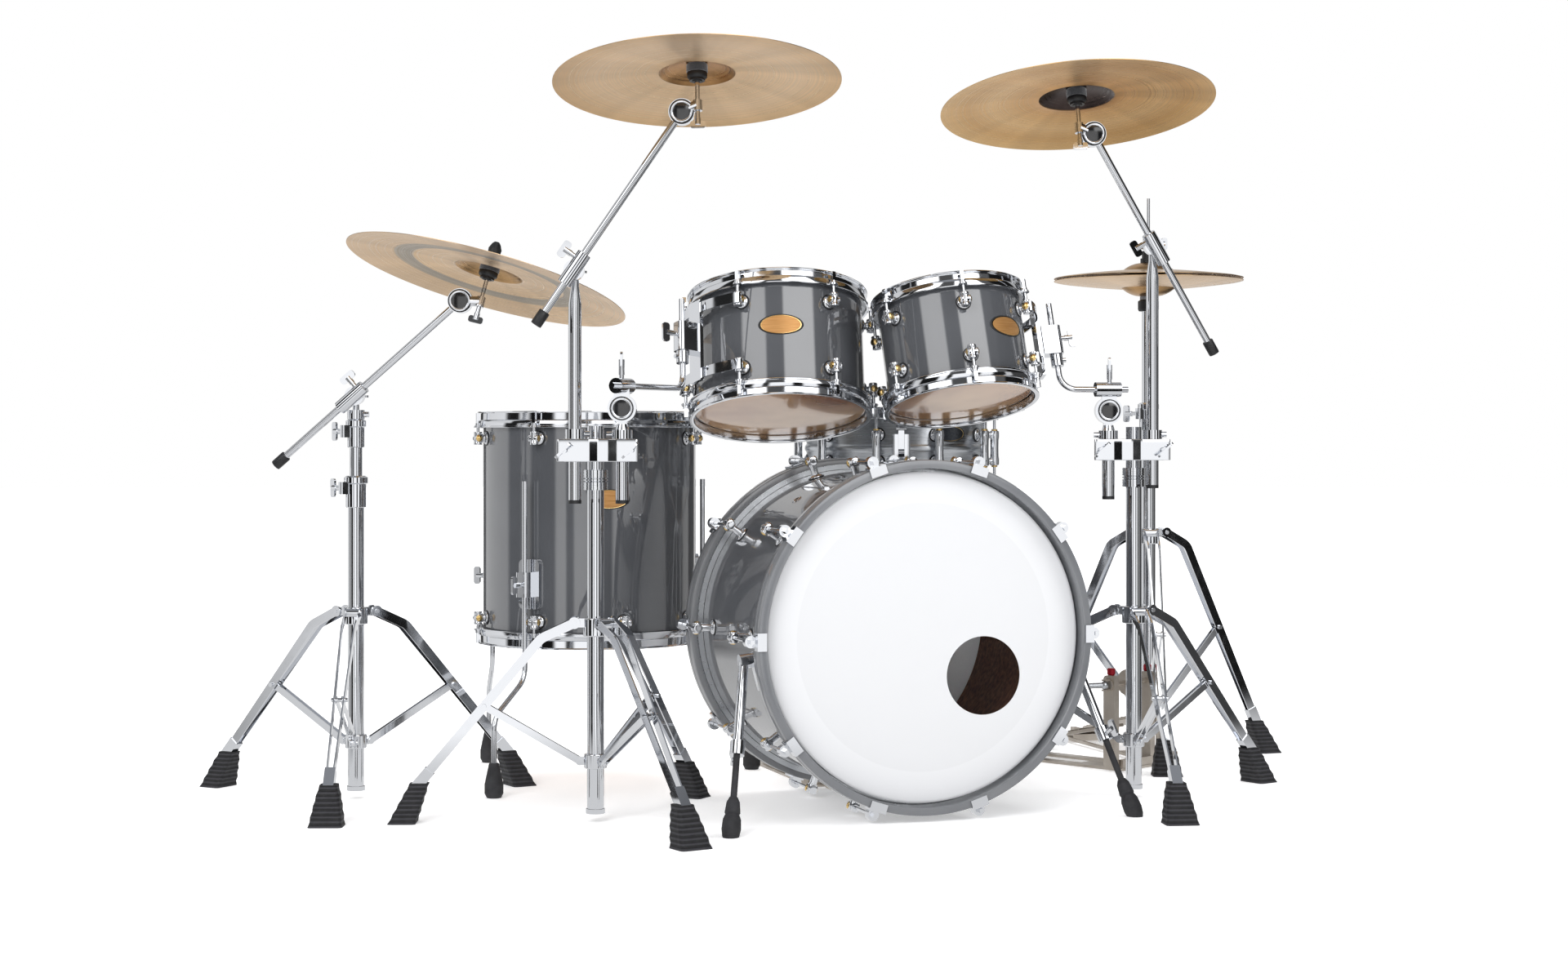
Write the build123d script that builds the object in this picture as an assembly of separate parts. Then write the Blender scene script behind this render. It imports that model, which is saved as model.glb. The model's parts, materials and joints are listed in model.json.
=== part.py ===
"""Acoustic drum kit: bass drum, two rack toms, floor tom, snare, three boom cymbals, hi-hat and double pedal.

Millimetres, +Z up, floor at Z = 0. Places are measured from the bass drum's centre line (+X to the
kit's left-hand side as the drummer sits, +Y towards the drummer), and every node is moved at the end
so that the origin is the middle of the kit's plan.
"""

from build123d import *
from math import atan2, cos, degrees, radians, sin
import os

INCH = 25.4
LOW = (Align.CENTER, Align.CENTER, Align.MIN)

# Middle of the kit's plan, from the bass drum's centre.
KIT_MIDDLE = (-51.307, 199.775)

# Clearances.
RUN = 0.05          # running fit: a rod or a pin in its hole, on the radius
SEAT = 0.3          # between faces that only rest on each other or pass each other

# Bass drum: its axis lies along Y, and its front head faces -Y.
BASS_RADIUS = 22 * INCH / 2
BASS_DEPTH = 16 * INCH
BASS_WALL = 9.0
BASS_HOOP_WIDTH = 38.0
BASS_HOOP_THICK = 15.0
BASS_HOOP_GAP = 5.6
BASS_HOOP_RISE = 21.8
HOOP_HIGH = BASS_DEPTH / 2 + BASS_HOOP_RISE
HOOP_LOW = HOOP_HIGH - BASS_HOOP_WIDTH
HOOP_OUTER = BASS_RADIUS + BASS_HOOP_GAP + BASS_HOOP_THICK
FLOOR_GAP = 11.0    # under the hoops, where the pedal's clamp goes
BASS_HEIGHT = HOOP_OUTER + FLOOR_GAP
BASS_LUGS = 10
BASS_LUG_INSET = 91.0
BASS_ROD_OFFSET = 31.0
PORT_RADIUS = 65.0
PORT_PLACE = (105.0, -69.0)
VENT_RADIUS = 6.0

# Spurs.
SPUR_PIVOT = (BASS_RADIUS + 11.6, -140.0, BASS_HEIGHT - 37.0)
SPUR_FOOT = (BASS_RADIUS + 82.6, -268.0, 0.0)
SPUR_TUBE = 8.5
SPUR_ROD = 5.5
SPUR_TUBE_LENGTH = 165.0

# Toms, floor tom and snare: radius, depth, hoop rise over the bearing edge, lugs round one head.
TOM12 = dict(radius=12 * INCH / 2, depth=8 * INCH, rise=13.9, lugs=6, first=-24.0, inset=41.0, wall=6.0)
TOM10 = dict(radius=10 * INCH / 2, depth=7 * INCH, rise=14.1, lugs=6, first=-52.0, inset=41.0, wall=6.0)
FLOOR = dict(radius=16 * INCH / 2, depth=16 * INCH, rise=16.3, lugs=8, first=-23.0, inset=34.0, wall=7.0)
SNARE = dict(radius=14 * INCH / 2, depth=5.5 * INCH, rise=9.0, lugs=10, first=-14.0, inset=30.0, wall=2.0)
TOM12_CENTRE = (-149.5, 135.5, 793.0)
TOM10_CENTRE = (129.0, -17.0, 803.0)
FLOOR_CENTRE = (-408.0, 516.0, 478.5)
SNARE_CENTRE = (201.0, 465.0, 628.5)
TOM12_AXIS = (0.0577, 0.2622, 0.9633)
TOM10_AXIS = (-0.0277, 0.2811, 0.9593)
ROD_OFFSET = 17.0
ROD_RADIUS = 2.8
LUG_BARREL = 7.5
HEAD_FILM = 0.6
HEAD_SLACK = 0.5
HOOP_SHEET = 2.3

# Floor tom legs: bracket angles from the listener's side, and each foot's turn from straight outwards.
FLOOR_LEGS = ((-117.5, -51.5), (-27.5, 0.0), (107.5, 0.0))
FLOOR_LEG_RADIUS = 5.0
FLOOR_LEG_OFFSET = 21.0
FLOOR_LEG_SPREAD = 100.0
FLOOR_BRACKET_HEIGHT = -100.0

# Snare basket: underside of the lower hoop, height of the hub, and the arms' headings.
SNARE_LOW = SNARE_CENTRE[2] - SNARE["depth"] / 2 - SNARE["rise"]
BASKET_HUB = 470.0
BASKET_ARMS = (-90.0, 30.0, 150.0)

# Snare throw-off lever's pivot, from the middle of the shell.
LEVER_HEIGHT = -6.0
LEVER_OUT = 14.0
LEVER_WIDTH = 11.2
LEVER_PIN = 2.5

# The stands face the listener, and that direction is turned from the bass drum's axis.
TURN = 18.0

# Tom mounts: the L-rod's upright leg stands this far off the shell.
MOUNT_OFFSET = 56.0
L_ROD = 5.25
TOM12_MOUNT_ANGLE = -54.0
TOM10_MOUNT_ANGLE = 98.0
L_ROD_HEIGHT = 734.5
TILTER_HEIGHT = 697.0
TILTER_RADIUS = 24.0
HUB_THICK = 13.0
BARREL_FORWARD = 14.0

# Stand columns, tripods and feet: plan place, foot radius, and the headings of the three legs.
RIDE_STAND = dict(place=(-876.0, 363.0), reach=330.0, legs=(13.3, 133.3, -106.7), top=336.0)
RIGHT_STAND = dict(place=(-530.0, -35.0), reach=330.0, legs=(44.0, 164.0, -76.0), top=336.0)
LEFT_STAND = dict(place=(466.0, -48.0), reach=330.0, legs=(-102.3, 17.7, 137.7), top=336.0)
SNARE_STAND = dict(place=(201.0, 465.0), reach=215.0, legs=(-110.0, 10.0, 130.0), top=250.0)
HIHAT_STAND = dict(place=(735.0, 434.0), reach=277.0, legs=(-109.0, 1.0, 126.0), top=457.0)
COLUMN = 14.3
MID_TUBE = 11.1
POLE = 11.0
THIN_POLE = 9.5
TUBE_WALL = 1.5
LEG_STRIP = 16.0
LEG_THICK = 2.5
BRACE_STRIP = 12.0
PIN = 4.0
LOWER_COLLAR = (90.0, 115.0)
LEG_PIVOT_RADIUS = 35.0
BRACE_JOINT_SHARE = 0.46
SHOE = (42.0, 18.0, LEG_STRIP + 3)

# Multi-clamps: heights of the bar, and the places in it of cymbal pole and tom post, from the column.
CLAMP_LOW = 608.0
CLAMP_HIGH = 646.0
RIGHT_POLE_PLACE = (-31.0, -45.0)
RIGHT_POST_PLACE = (48.0, -45.0)
LEFT_POLE_PLACE = (27.0, -45.0)
LEFT_POST_PLACE = (-52.0, -45.0)
POST_RADIUS = 11.1
POST_BOTTOM = 538.0

# Boom arms: lower end, tilter, and the cymbal's rim centre and axis.
RIDE = dict(end=(-1012.8, 413.2, 599.0), tilter=(-709.8, 238.2, 891.0), radius=10 * INCH,
            rim=(-666.0, 224.0, 926.0), axis=(0.2805, 0.0771, 0.9568), bell=61.0)
RIGHT_CRASH = dict(end=(-643.5, -84.2, 835.0), tilter=(-404.7, -127.0, 1192.0), radius=9.5 * INCH,
               rim=(-380.0, -135.0, 1240.0), axis=(0.0346, 0.1759, 0.9838), bell=64.0)
LEFT_CRASH = dict(end=(592.5, -115.8, 800.0), tilter=(345.6, -133.7, 1183.0), radius=9.5 * INCH,
               rim=(319.0, -125.0, 1231.0), axis=(0.0146, 0.2002, 0.9796), bell=67.0)
BOOM_RADIUS = 6.35
DISC_RADIUS = 22.0
CYMBAL_ROD = 4.0
CYMBAL_HOLE = 6.5
CYMBAL_BOW = 18.0
BELL_RISE = 18.0
CUP_SHELF = 18.0
FELT_TOP = 0.5
FELT_BALL = 14.0
CYMBAL_SHEET = 1.8

# Hi-hat.
HIHAT_RADIUS = 7.5 * INCH
HIHAT_EDGE = 970.0
HIHAT_GAP = 4.0
HIHAT_BOW = 14.0
HIHAT_BELL = 55.0
HIHAT_ROD_TOP = 1135.0
HIHAT_ROD = 3.2
HIHAT_COLUMN_LOW = 62.0

# Double pedal.
PEDAL_GAP = 36.0
SLAVE_TOE = (628.0, 301.5)
SLAVE_HEADING = -151.8
BOARD_LENGTH = 285.0
BOARD_WIDTH = 88.0
POST_HEIGHT = 186.0
POST_OFFSET = 60.0
POST_THICK = 16.0
TOE_OVERHANG = 22.0
HINGE_HEIGHT = 22.0
HINGE_PIN = 3.0
BOARD_RISE = 12.0
AXLE_HEIGHT = 168.0
AXLE = 5.0
AXLE_TOE = 6.0
JOINT_OFFSET = 82.0
JOINT_BALL = 8.0
BEATER_LEAN = 42.0
BEATER_SPREAD = 20.0
HUB_WIDTH = 16.0
CAM_WIDTH = 12.0
AXLE_OUT = POST_OFFSET + POST_THICK / 2 + SEAT
BEATER_GAP = HUB_WIDTH / 2 - BEATER_SPREAD


def facing(x, y):
    """Offset to the right and away, as the listener sees it, turned into the kit's own frame."""
    turn = radians(TURN)
    return x * cos(turn) + y * sin(turn), -x * sin(turn) + y * cos(turn)


RIGHTWARD = Vector(*facing(1, 0), 0)
AWAY = Vector(*facing(0, 1), 0)
UP = Vector(0, 0, 1)


def beside(stand, offset, height):
    """Point beside a stand's column, with the offset as the listener sees it."""
    x, y = facing(*offset)
    return Vector(stand["place"][0] + x, stand["place"][1] + y, height)


def drum_plane(centre, axis):
    """Plane across a drum, its local X towards the listener."""
    normal = Vector(*axis).normalized()
    toward = AWAY * -1
    across = (toward - normal * toward.dot(normal)).normalized()
    return Plane(origin=centre, x_dir=across, z_dir=normal)


BASS_PLANE = Plane(origin=(0, 0, BASS_HEIGHT), x_dir=(1, 0, 0), z_dir=(0, -1, 0))
TOM12_PLANE = drum_plane(TOM12_CENTRE, TOM12_AXIS)
TOM10_PLANE = drum_plane(TOM10_CENTRE, TOM10_AXIS)
FLOOR_PLANE = drum_plane(FLOOR_CENTRE, (0, 0, 1))
SNARE_PLANE = drum_plane(SNARE_CENTRE, (0, 0, 1))

RIGHT_POLE = beside(RIGHT_STAND, RIGHT_POLE_PLACE, 0)
RIGHT_POST = beside(RIGHT_STAND, RIGHT_POST_PLACE, 0)
LEFT_POLE = beside(LEFT_STAND, LEFT_POLE_PLACE, 0)
LEFT_POST = beside(LEFT_STAND, LEFT_POST_PLACE, 0)
RIDE_POLE = Vector(*RIDE_STAND["place"], 0)


def boom_pivot(boom, pole):
    """Point on the pole's axis at the height where the boom passes in front of it."""
    end, tilter = Vector(*boom["end"]), Vector(*boom["tilter"])
    run = end - tilter
    share = (pole - tilter).dot(RIGHTWARD) / run.dot(RIGHTWARD)
    return Vector(pole.X, pole.Y, (tilter + run * share).Z)


RIDE_PIVOT = boom_pivot(RIDE, RIDE_POLE)
RIGHT_PIVOT = boom_pivot(RIGHT_CRASH, RIGHT_POLE)
LEFT_PIVOT = boom_pivot(LEFT_CRASH, LEFT_POLE)


def cymbal_seat(boom):
    """Centre of a cymbal's hole, where it rocks on its felt."""
    return Vector(*boom["rim"]) + Vector(*boom["axis"]).normalized() * (CYMBAL_BOW + BELL_RISE)


def polar(radius, angle, height=0.0):
    return Vector(radius * cos(radians(angle)), radius * sin(radians(angle)), height)


# ---------------------------------------------------------------------------------------------
# Shapes
# ---------------------------------------------------------------------------------------------


def rod(start, end, radius):
    """Round bar from one point to another."""
    start, end = Vector(*start), Vector(*end)
    plane = Plane(origin=start, z_dir=end - start)
    return plane * Cylinder(radius, (end - start).length, align=LOW)


def disc(radius, low, high):
    """Cylinder on the Z axis between two heights."""
    return Pos(0, 0, low) * Cylinder(radius, high - low, align=LOW)


def ring(outer, inner, low, high):
    return disc(outer, low, high) - disc(inner, low, high)


def spin(*outline):
    """Turn a closed outline of (radius, height) points about Z."""
    return revolve(Plane.XZ * make_face(Polyline(*outline, close=True)), Axis.Z)


def bent_rod(points, bend, radius):
    """Round bar along a route whose corners are bent."""
    path = FilletPolyline(*points, radius=bend)
    start = Plane(origin=path @ 0, z_dir=path % 0)
    return sweep(start * Circle(radius), path)


def wing(width, height, thick, bolt):
    """Wing bolt's head: a hub on the Z axis with two rounded wings."""
    hub = Cylinder(bolt, height, align=LOW)
    blade = Plane.XZ * RectangleRounded(width, height, min(width, height) * 0.35)
    return hub + Pos(0, thick / 2, height) * extrude(blade, thick)


def around(count, first, pieces):
    """The same pieces at equal steps round Z."""
    step = 360 / count
    return [Rot(0, 0, first + i * step) * piece for i in range(count) for piece in pieces]


def both_ends(pieces):
    """Pieces above the XY plane and their mirror images below it."""
    return list(pieces) + [mirror(piece, Plane.XY) for piece in pieces]


def placed(plane, pieces):
    return [plane.location * piece for piece in pieces]


# ---------------------------------------------------------------------------------------------
# Drums
# ---------------------------------------------------------------------------------------------


def shell(radius, depth, wall, edge=2.0):
    """Open cylinder whose bearing edges are cut at 45 degrees from inside."""
    half, slope = depth / 2, wall - edge if wall > edge else 0
    inner = radius - wall
    if not slope:
        return ring(radius, inner, -half, half)
    return spin((radius, -half), (radius, half), (radius - edge, half), (inner, half - slope),
                (inner, slope - half), (radius - edge, -half))


def head(radius, depth, film, skirt, flesh, thick):
    """Drum head over the upper edge: a flat film, and the collar and flesh hoop that hold it."""
    edge, inside, outside = depth / 2, radius + HEAD_SLACK, radius + HEAD_SLACK + film
    low = edge - skirt - thick
    collar = spin((inside, low), (flesh, low), (flesh, low + thick), (outside, low + thick),
                  (outside, edge + film), (inside, edge + film))
    return [disc(inside, edge, edge + film), collar]


def flanged_hoop(drum):
    """Pressed steel hoop with three flanges, and an ear with a hole at each tension rod."""
    r, edge, rise, t = drum["radius"], drum["depth"] / 2, drum["rise"], HOOP_SHEET
    low, lip = edge - 14, edge - 3
    band = spin((r + 8.5, low), (r + 13, low), (r + 13, low + t), (r + 8.5 + t, low + t),
                (r + 8.5 + t, lip + t), (r + 3 + t, lip + t), (r + 3 + t, edge + rise - t),
                (r + 11.1, edge + rise - t), (r + 11.1, edge + rise), (r + 3, edge + rise),
                (r + 3, lip), (r + 8.5, lip))
    ear = Pos(r + ROD_OFFSET, 0, low) * Cylinder(8, t, align=LOW)
    ear -= disc(r + 9.5, low, low + t)
    hole = Pos(r + ROD_OFFSET, 0, low - 1) * Cylinder(ROD_RADIUS + 0.4, t + 2, align=LOW)
    for piece in around(drum["lugs"], drum["first"], [ear - hole]):
        band += piece
    for piece in around(drum["lugs"], drum["first"], [hole]):
        band -= piece
    return band


def tension_lug(radius, offset, height, foot=9.5):
    """Round lug: a foot on the shell, a waisted post and an upright barrel bored for the rod."""
    reach = offset + 2
    post = Plane(origin=(radius - 2, 0, height), z_dir=(1, 0, 0))
    body = post * (disc(foot, 0, 5) + disc(foot * 0.62, 5, reach) + disc(foot * 0.8, reach - 9, reach - 4))
    barrel = Pos(radius + offset, 0, height - 12) * Cylinder(LUG_BARREL, 24, align=LOW)
    bore = Pos(radius + offset, 0, height - 6) * Cylinder(ROD_RADIUS + RUN, 40, align=LOW)
    return body + barrel - disc(radius + SEAT, height - 40, height + 40) - bore


def tension_rod(radius, offset, low, seat, top):
    """Rod with its washer and square head above the seat."""
    shank = disc(ROD_RADIUS, low, top - 1)
    washer = disc(6.2, seat, seat + 1.2)
    square = Pos(0, 0, seat + 1.2) * Box(6.5, 6.5, top - seat - 1.2, align=LOW)
    return Pos(radius + offset, 0, 0) * (shank + washer + square)


def drum_lugs(drum):
    """All lugs and tension rods of one drum, both heads."""
    r, edge = drum["radius"], drum["depth"] / 2
    height, ear = edge - drum["inset"], edge - 14 + HOOP_SHEET
    lug = tension_lug(r, ROD_OFFSET, height)
    bolt = tension_rod(r, ROD_OFFSET, height - 5, ear, edge + drum["rise"] - 3)
    return both_ends(around(drum["lugs"], drum["first"], [lug, bolt]))


def drum_heads(drum):
    return both_ends(head(drum["radius"], drum["depth"], HEAD_FILM, 3, drum["radius"] + 8, 6))


def drum_hoops(drum):
    return both_ends([flanged_hoop(drum)])


def vent(drum, angle):
    """Cutter for a shell's air vent."""
    start = polar(drum["radius"] - 20, angle)
    return rod(start, polar(drum["radius"] + 5, angle), VENT_RADIUS)


def tom_shell(drum, vent_angle):
    return [shell(drum["radius"], drum["depth"], drum["wall"]) - vent(drum, vent_angle)]


def bass_shell():
    cut = rod(polar(BASS_RADIUS - 20, 125), polar(BASS_RADIUS + 5, 125), VENT_RADIUS)
    return [shell(BASS_RADIUS, BASS_DEPTH, BASS_WALL) - cut]


def bass_hoops():
    """Two bent-wood hoops with rounded outer corners and a shallow groove for the stripe."""
    inner, r = HOOP_OUTER - BASS_HOOP_THICK, 3.0
    mid = (HOOP_LOW + HOOP_HIGH) / 2
    hoop = spin((inner, HOOP_LOW), (HOOP_OUTER - r, HOOP_LOW), (HOOP_OUTER, HOOP_LOW + r),
                (HOOP_OUTER, mid - 5), (HOOP_OUTER - 0.8, mid - 5), (HOOP_OUTER - 0.8, mid + 5),
                (HOOP_OUTER, mid + 5), (HOOP_OUTER, HOOP_HIGH - r), (HOOP_OUTER - r, HOOP_HIGH),
                (inner, HOOP_HIGH))
    return both_ends([hoop])


def bass_head():
    skirt = BASS_DEPTH / 2 - HOOP_LOW
    return head(BASS_RADIUS, BASS_DEPTH, 0.8, skirt, BASS_RADIUS + 10, 9)


def bass_front_head():
    port = Pos(*PORT_PLACE, 0) * Cylinder(PORT_RADIUS, BASS_DEPTH, align=LOW)
    film, collar = bass_head()
    return [film - port, collar]


def bass_batter_head():
    return [mirror(piece, Plane.XY) for piece in bass_head()]


def bass_lugs():
    height = BASS_DEPTH / 2 - BASS_LUG_INSET
    lug = tension_lug(BASS_RADIUS, BASS_ROD_OFFSET, height, foot=11)
    return both_ends(around(BASS_LUGS, 0, [lug]))


def bass_claws():
    """Claw hooks over the hoops, each drawn to its lug by a key rod."""
    plate, lip, half = 3.0, 16.0, 15.0
    near, far = HOOP_OUTER + SEAT, HOOP_OUTER + SEAT + plate
    top = HOOP_HIGH + SEAT + plate
    outline = Polyline((near, HOOP_LOW + 8), (far, HOOP_LOW + 8), (far, top), (far - lip, top),
                       (far - lip, HOOP_HIGH + SEAT), (near, HOOP_HIGH + SEAT), close=True)
    hook = extrude(Plane.XZ * make_face(outline), half, both=True)
    taper = Pos(0, 0, HOOP_LOW + 8) * Box(400, 60, 14, align=(Align.MIN, Align.MIN, Align.MIN))
    hook -= Pos(0, 11, 0) * taper
    hook -= mirror(Pos(0, 11, 0) * taper, Plane.XZ)
    middle = BASS_RADIUS + BASS_ROD_OFFSET
    boss = Pos(middle, 0, HOOP_LOW + 12) * Cylinder(middle - HOOP_OUTER - 0.2, 14, align=LOW)
    bore = Pos(middle, 0, 0) * Cylinder(ROD_RADIUS + 0.4, BASS_DEPTH, align=LOW)
    key = tension_rod(BASS_RADIUS, BASS_ROD_OFFSET, BASS_DEPTH / 2 - BASS_LUG_INSET - 5,
                      HOOP_LOW + 26, HOOP_LOW + 36)
    return both_ends(around(BASS_LUGS, 0, [hook + boss - bore, key]))


def spur_frame(side):
    """Plane at a spur's pivot: Z out of the shell along the pivot pin, X down the spur."""
    pivot = Vector(side * SPUR_PIVOT[0], SPUR_PIVOT[1], SPUR_PIVOT[2])
    foot = Vector(side * SPUR_FOOT[0], SPUR_FOOT[1], SPUR_FOOT[2])
    out = Vector(pivot.X, 0, pivot.Z - BASS_HEIGHT).normalized()
    down = foot - pivot
    along = (down - out * down.dot(out)).normalized()
    return Plane(origin=pivot, x_dir=along, z_dir=out)


def spur_brackets():
    """Cast plates on the shell, each with a hub and a pin for its spur."""
    pieces = []
    for side in (-1, 1):
        frame = spur_frame(side)
        hub = Cylinder(13, 24, align=(Align.CENTER, Align.CENTER, Align.MAX))
        plate = Pos(20, 0, -6) * Box(64, 30, 22, align=(Align.CENTER, Align.CENTER, Align.MAX))
        pin = Cylinder(PIN, 17, align=LOW)
        cast = frame.location * (fillet((hub + plate).edges().filter_by(Axis.Z), 5) + pin)
        cast -= BASS_PLANE.location * disc(BASS_RADIUS + SEAT, -BASS_DEPTH, BASS_DEPTH)
        pieces.append(cast)
    return pieces


def spur_leg(side):
    """Spur tube with its eye on the bracket's pin and its wing clamp."""
    frame = spur_frame(side)
    foot = frame.to_local_coords(Vector(side * SPUR_FOOT[0], SPUR_FOOT[1], SPUR_FOOT[2]))
    start = Vector(0, 0, 9)
    along = (Vector(foot.X, foot.Y, foot.Z) - start).normalized()
    end = start + along * SPUR_TUBE_LENGTH
    tube_body = rod(start, end, SPUR_TUBE) + rod(end - along * 22, end + along * 2, SPUR_TUBE + 4)
    eye = disc(13, SEAT, 17) + Pos(0, 0, 9) * Sphere(8.5)
    bore = disc(PIN + RUN, -5, 17 + SEAT)
    inner = rod(start + along * 30, end + along * 5, SPUR_ROD + RUN)
    clamp = rod(end - along * 8, end - along * 8 + Vector(0, -22, 0), 4)
    thumb = Plane(origin=end - along * 8 + Vector(0, -20, 0), x_dir=along, z_dir=(0, -1, 0)).location
    leg = tube_body + eye + clamp + thumb * wing(30, 16, 4, 5) - bore - inner
    return placed(frame, [leg])


def spur_rod(side):
    """Inner rod, chrome cone and rubber tip, standing on the floor."""
    pivot = spur_frame(side).from_local_coords(Vector(0, 0, 9))
    foot = Vector(side * SPUR_FOOT[0], SPUR_FOOT[1], SPUR_FOOT[2])
    along = (foot - pivot).normalized()
    tip = Plane(origin=foot, x_dir=AWAY, z_dir=along * -1).location
    shank = rod(pivot + along * 100, foot - along * 30, SPUR_ROD)
    cone = tip * spin((0, 38), (11, 38), (13, 42), (11, 60), (7, 68), (0, 68))
    cone += shank
    rubber = tip * spin((0, -12), (8, -12), (14, 2), (16, 14), (15, 30), (12, 38), (0, 38))
    rubber = rubber & Pos(foot.X, foot.Y, 0) * Box(90, 90, 120, align=LOW)
    return [cone, rubber - cone]


# ---------------------------------------------------------------------------------------------
# Floor tom legs, snare strainer
# ---------------------------------------------------------------------------------------------

def floor_leg_brackets():
    """Leg brackets: a cast plate on the shell with a bored block and its wing bolt."""
    r = FLOOR["radius"]
    block = Pos(r + FLOOR_LEG_OFFSET - 4, 0, 0) * Box(36, 26, 46)
    plate = Pos(r + 2, 0, 0) * Box(12, 44, 92)
    plate = fillet(plate.edges().filter_by(Axis.X), 10)
    bolt = rod((r + FLOOR_LEG_OFFSET + 10, 0, 0), (r + FLOOR_LEG_OFFSET + 24, 0, 0), 4)
    thumb = Plane(origin=(r + FLOOR_LEG_OFFSET + 22, 0, 0), x_dir=(0, 0, 1), z_dir=(1, 0, 0)).location
    cast = fillet(block.edges().filter_by(Axis.Z), 7) + plate + bolt + thumb * wing(34, 14, 4, 5)
    cast -= Pos(r + FLOOR_LEG_OFFSET, 0, 0) * Cylinder(FLOOR_LEG_RADIUS + RUN, 120)
    cast -= disc(r + SEAT, -100, 100)
    return [Pos(0, 0, FLOOR_BRACKET_HEIGHT) * Rot(0, 0, a) * cast for a, turn in FLOOR_LEGS]


def floor_leg(angle, turn):
    """Bent leg rod with a pear-shaped rubber foot, in the floor tom's own frame."""
    floor, out = -FLOOR_CENTRE[2], FLOOR_LEG_SPREAD
    knee = floor + 205
    points = [(0, 0, 90), (0, 0, knee), (out, 0, knee - 62), (out, 0, floor + 30)]
    leg = bent_rod(points, 40, FLOOR_LEG_RADIUS)
    rubber = Pos(out, 0, floor) * spin((0, 0), (13, 0), (17, 8), (17, 24), (13, 44), (9, 62), (0, 62))
    bracket = Rot(0, 0, angle) * Pos(FLOOR["radius"] + FLOOR_LEG_OFFSET, 0, 0) * Rot(0, 0, turn)
    return [bracket * piece for piece in (leg, rubber - leg)]


def snare_strainer():
    """Throw-off and butt plate on the shell, the two straps and the snare wires under the head."""
    r, low = SNARE["radius"], -SNARE["depth"] / 2
    wires_low = low - HEAD_FILM - SEAT - 1.6
    base = Pos(r + 9, 0, -4) * Box(22, 34, 62)
    base = fillet(base.edges().filter_by(Axis.Z), 5)
    base -= Pos(r + LEVER_OUT, 0, LEVER_HEIGHT + 12) * Box(40, LEVER_WIDTH + 2 * SEAT, 44)
    base += Pos(r + LEVER_OUT, 0, LEVER_HEIGHT) * Rot(90, 0, 0) * Cylinder(LEVER_PIN, 30)
    base -= disc(r + SEAT, -100, 100)
    butt = Pos(-r - 7, 0, -10) * Box(18, 40, 36)
    butt = fillet(butt.edges().filter_by(Axis.Z), 5) - disc(r + SEAT, -100, 100)
    wires = [Pos(0, y, wires_low + 0.8) * Rot(0, 90, 0) * Cylinder(0.8, 290) for y in range(-20, 21, 5)]
    plates = [Pos(x, 0, wires_low - 0.2) * Box(16, 46, 2) for x in (-153, 153)]
    comb = plates[0] + plates[1]
    for wire in wires:
        comb += wire
    return [base, butt, comb]


def strainer_lever():
    """Lever of the throw-off on its pin, standing out of the slot of its base."""
    across = Pos(SNARE["radius"] + LEVER_OUT, 0, LEVER_HEIGHT)
    arm = across * Box(7, LEVER_WIDTH, 42, align=LOW)
    eye = across * Rot(90, 0, 0) * Cylinder(6, LEVER_WIDTH)
    knob = across * Pos(2, 0, 40) * Box(11, 20, 12, align=LOW)
    bore = across * Rot(90, 0, 0) * Cylinder(LEVER_PIN + RUN, 2 * LEVER_WIDTH)
    return [fillet(knob.edges().filter_by(Axis.Y), 3) + arm + eye - bore]


# ---------------------------------------------------------------------------------------------
# Stands
# ---------------------------------------------------------------------------------------------

def leg_layout(stand):
    """Radius and height of a leg's pivot, knee, brace joint and end, in the leg's own plane."""
    top, reach = stand["top"], stand["reach"]
    pivot = Vector(LEG_PIVOT_RADIUS, top)
    knee = Vector(LEG_PIVOT_RADIUS + 0.17 * reach, top - 26)
    end = Vector(reach - 30, 62)
    return pivot, knee, knee + (end - knee) * BRACE_JOINT_SHARE, end


def leg(stand):
    """One leg along +X: two flat strips pinned to the collar's ear and closed at the foot."""
    pivot, knee, joint, end = leg_layout(stand)
    route = FilletPolyline((pivot.X, pivot.Y), (knee.X, knee.Y), (end.X, end.Y), radius=28)
    outline = trace(route, LEG_STRIP)
    outline += Pos(pivot.X, pivot.Y) * Circle(LEG_STRIP * 0.62)
    strip = extrude(Plane.XZ * outline, LEG_THICK)
    lean = degrees(atan2(8.0, end.X - pivot.X))
    near = Pos(0, -12, 0) * Pos(pivot.X, 0, 0) * Rot(0, 0, lean) * Pos(-pivot.X, 0, 0) * strip
    pair = near + mirror(near, Plane.XZ)
    slope = degrees(atan2(knee.Y - end.Y, end.X - knee.X))
    shoe = Pos(end.X, 0, end.Y) * Rot(0, slope, 0) * Pos(-12, 0, 0) * Box(*SHOE)
    pin = Pos(pivot.X, 0, pivot.Y) * Rot(90, 0, 0) * Cylinder(PIN, 31)
    hole = Pos(joint.X, 0, joint.Y) * Rot(90, 0, 0) * Cylinder(PIN + RUN, 60)
    return pair + shoe + pin - hole


def brace(stand):
    """Brace from the lower collar's ear up to the leg's joint, with a pin at each end."""
    joint = leg_layout(stand)[2]
    root = Vector(COLUMN + 12, sum(LOWER_COLLAR) / 2)
    outline = trace(Line((root.X, root.Y), (joint.X, joint.Y)), BRACE_STRIP)
    for end in (root, joint):
        outline += Pos(end.X, end.Y) * Circle(BRACE_STRIP / 2 + 1)
    strip = Pos(0, -3.6, 0) * extrude(Plane.XZ * outline, LEG_THICK)
    lower = Pos(root.X, 0, root.Y) * Rot(90, 0, 0) * Cylinder(PIN, 15)
    upper = Pos(joint.X, 0, joint.Y) * Rot(90, 0, 0) * Cylinder(PIN, 28)
    return strip + mirror(strip, Plane.XZ) + lower + upper


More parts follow.
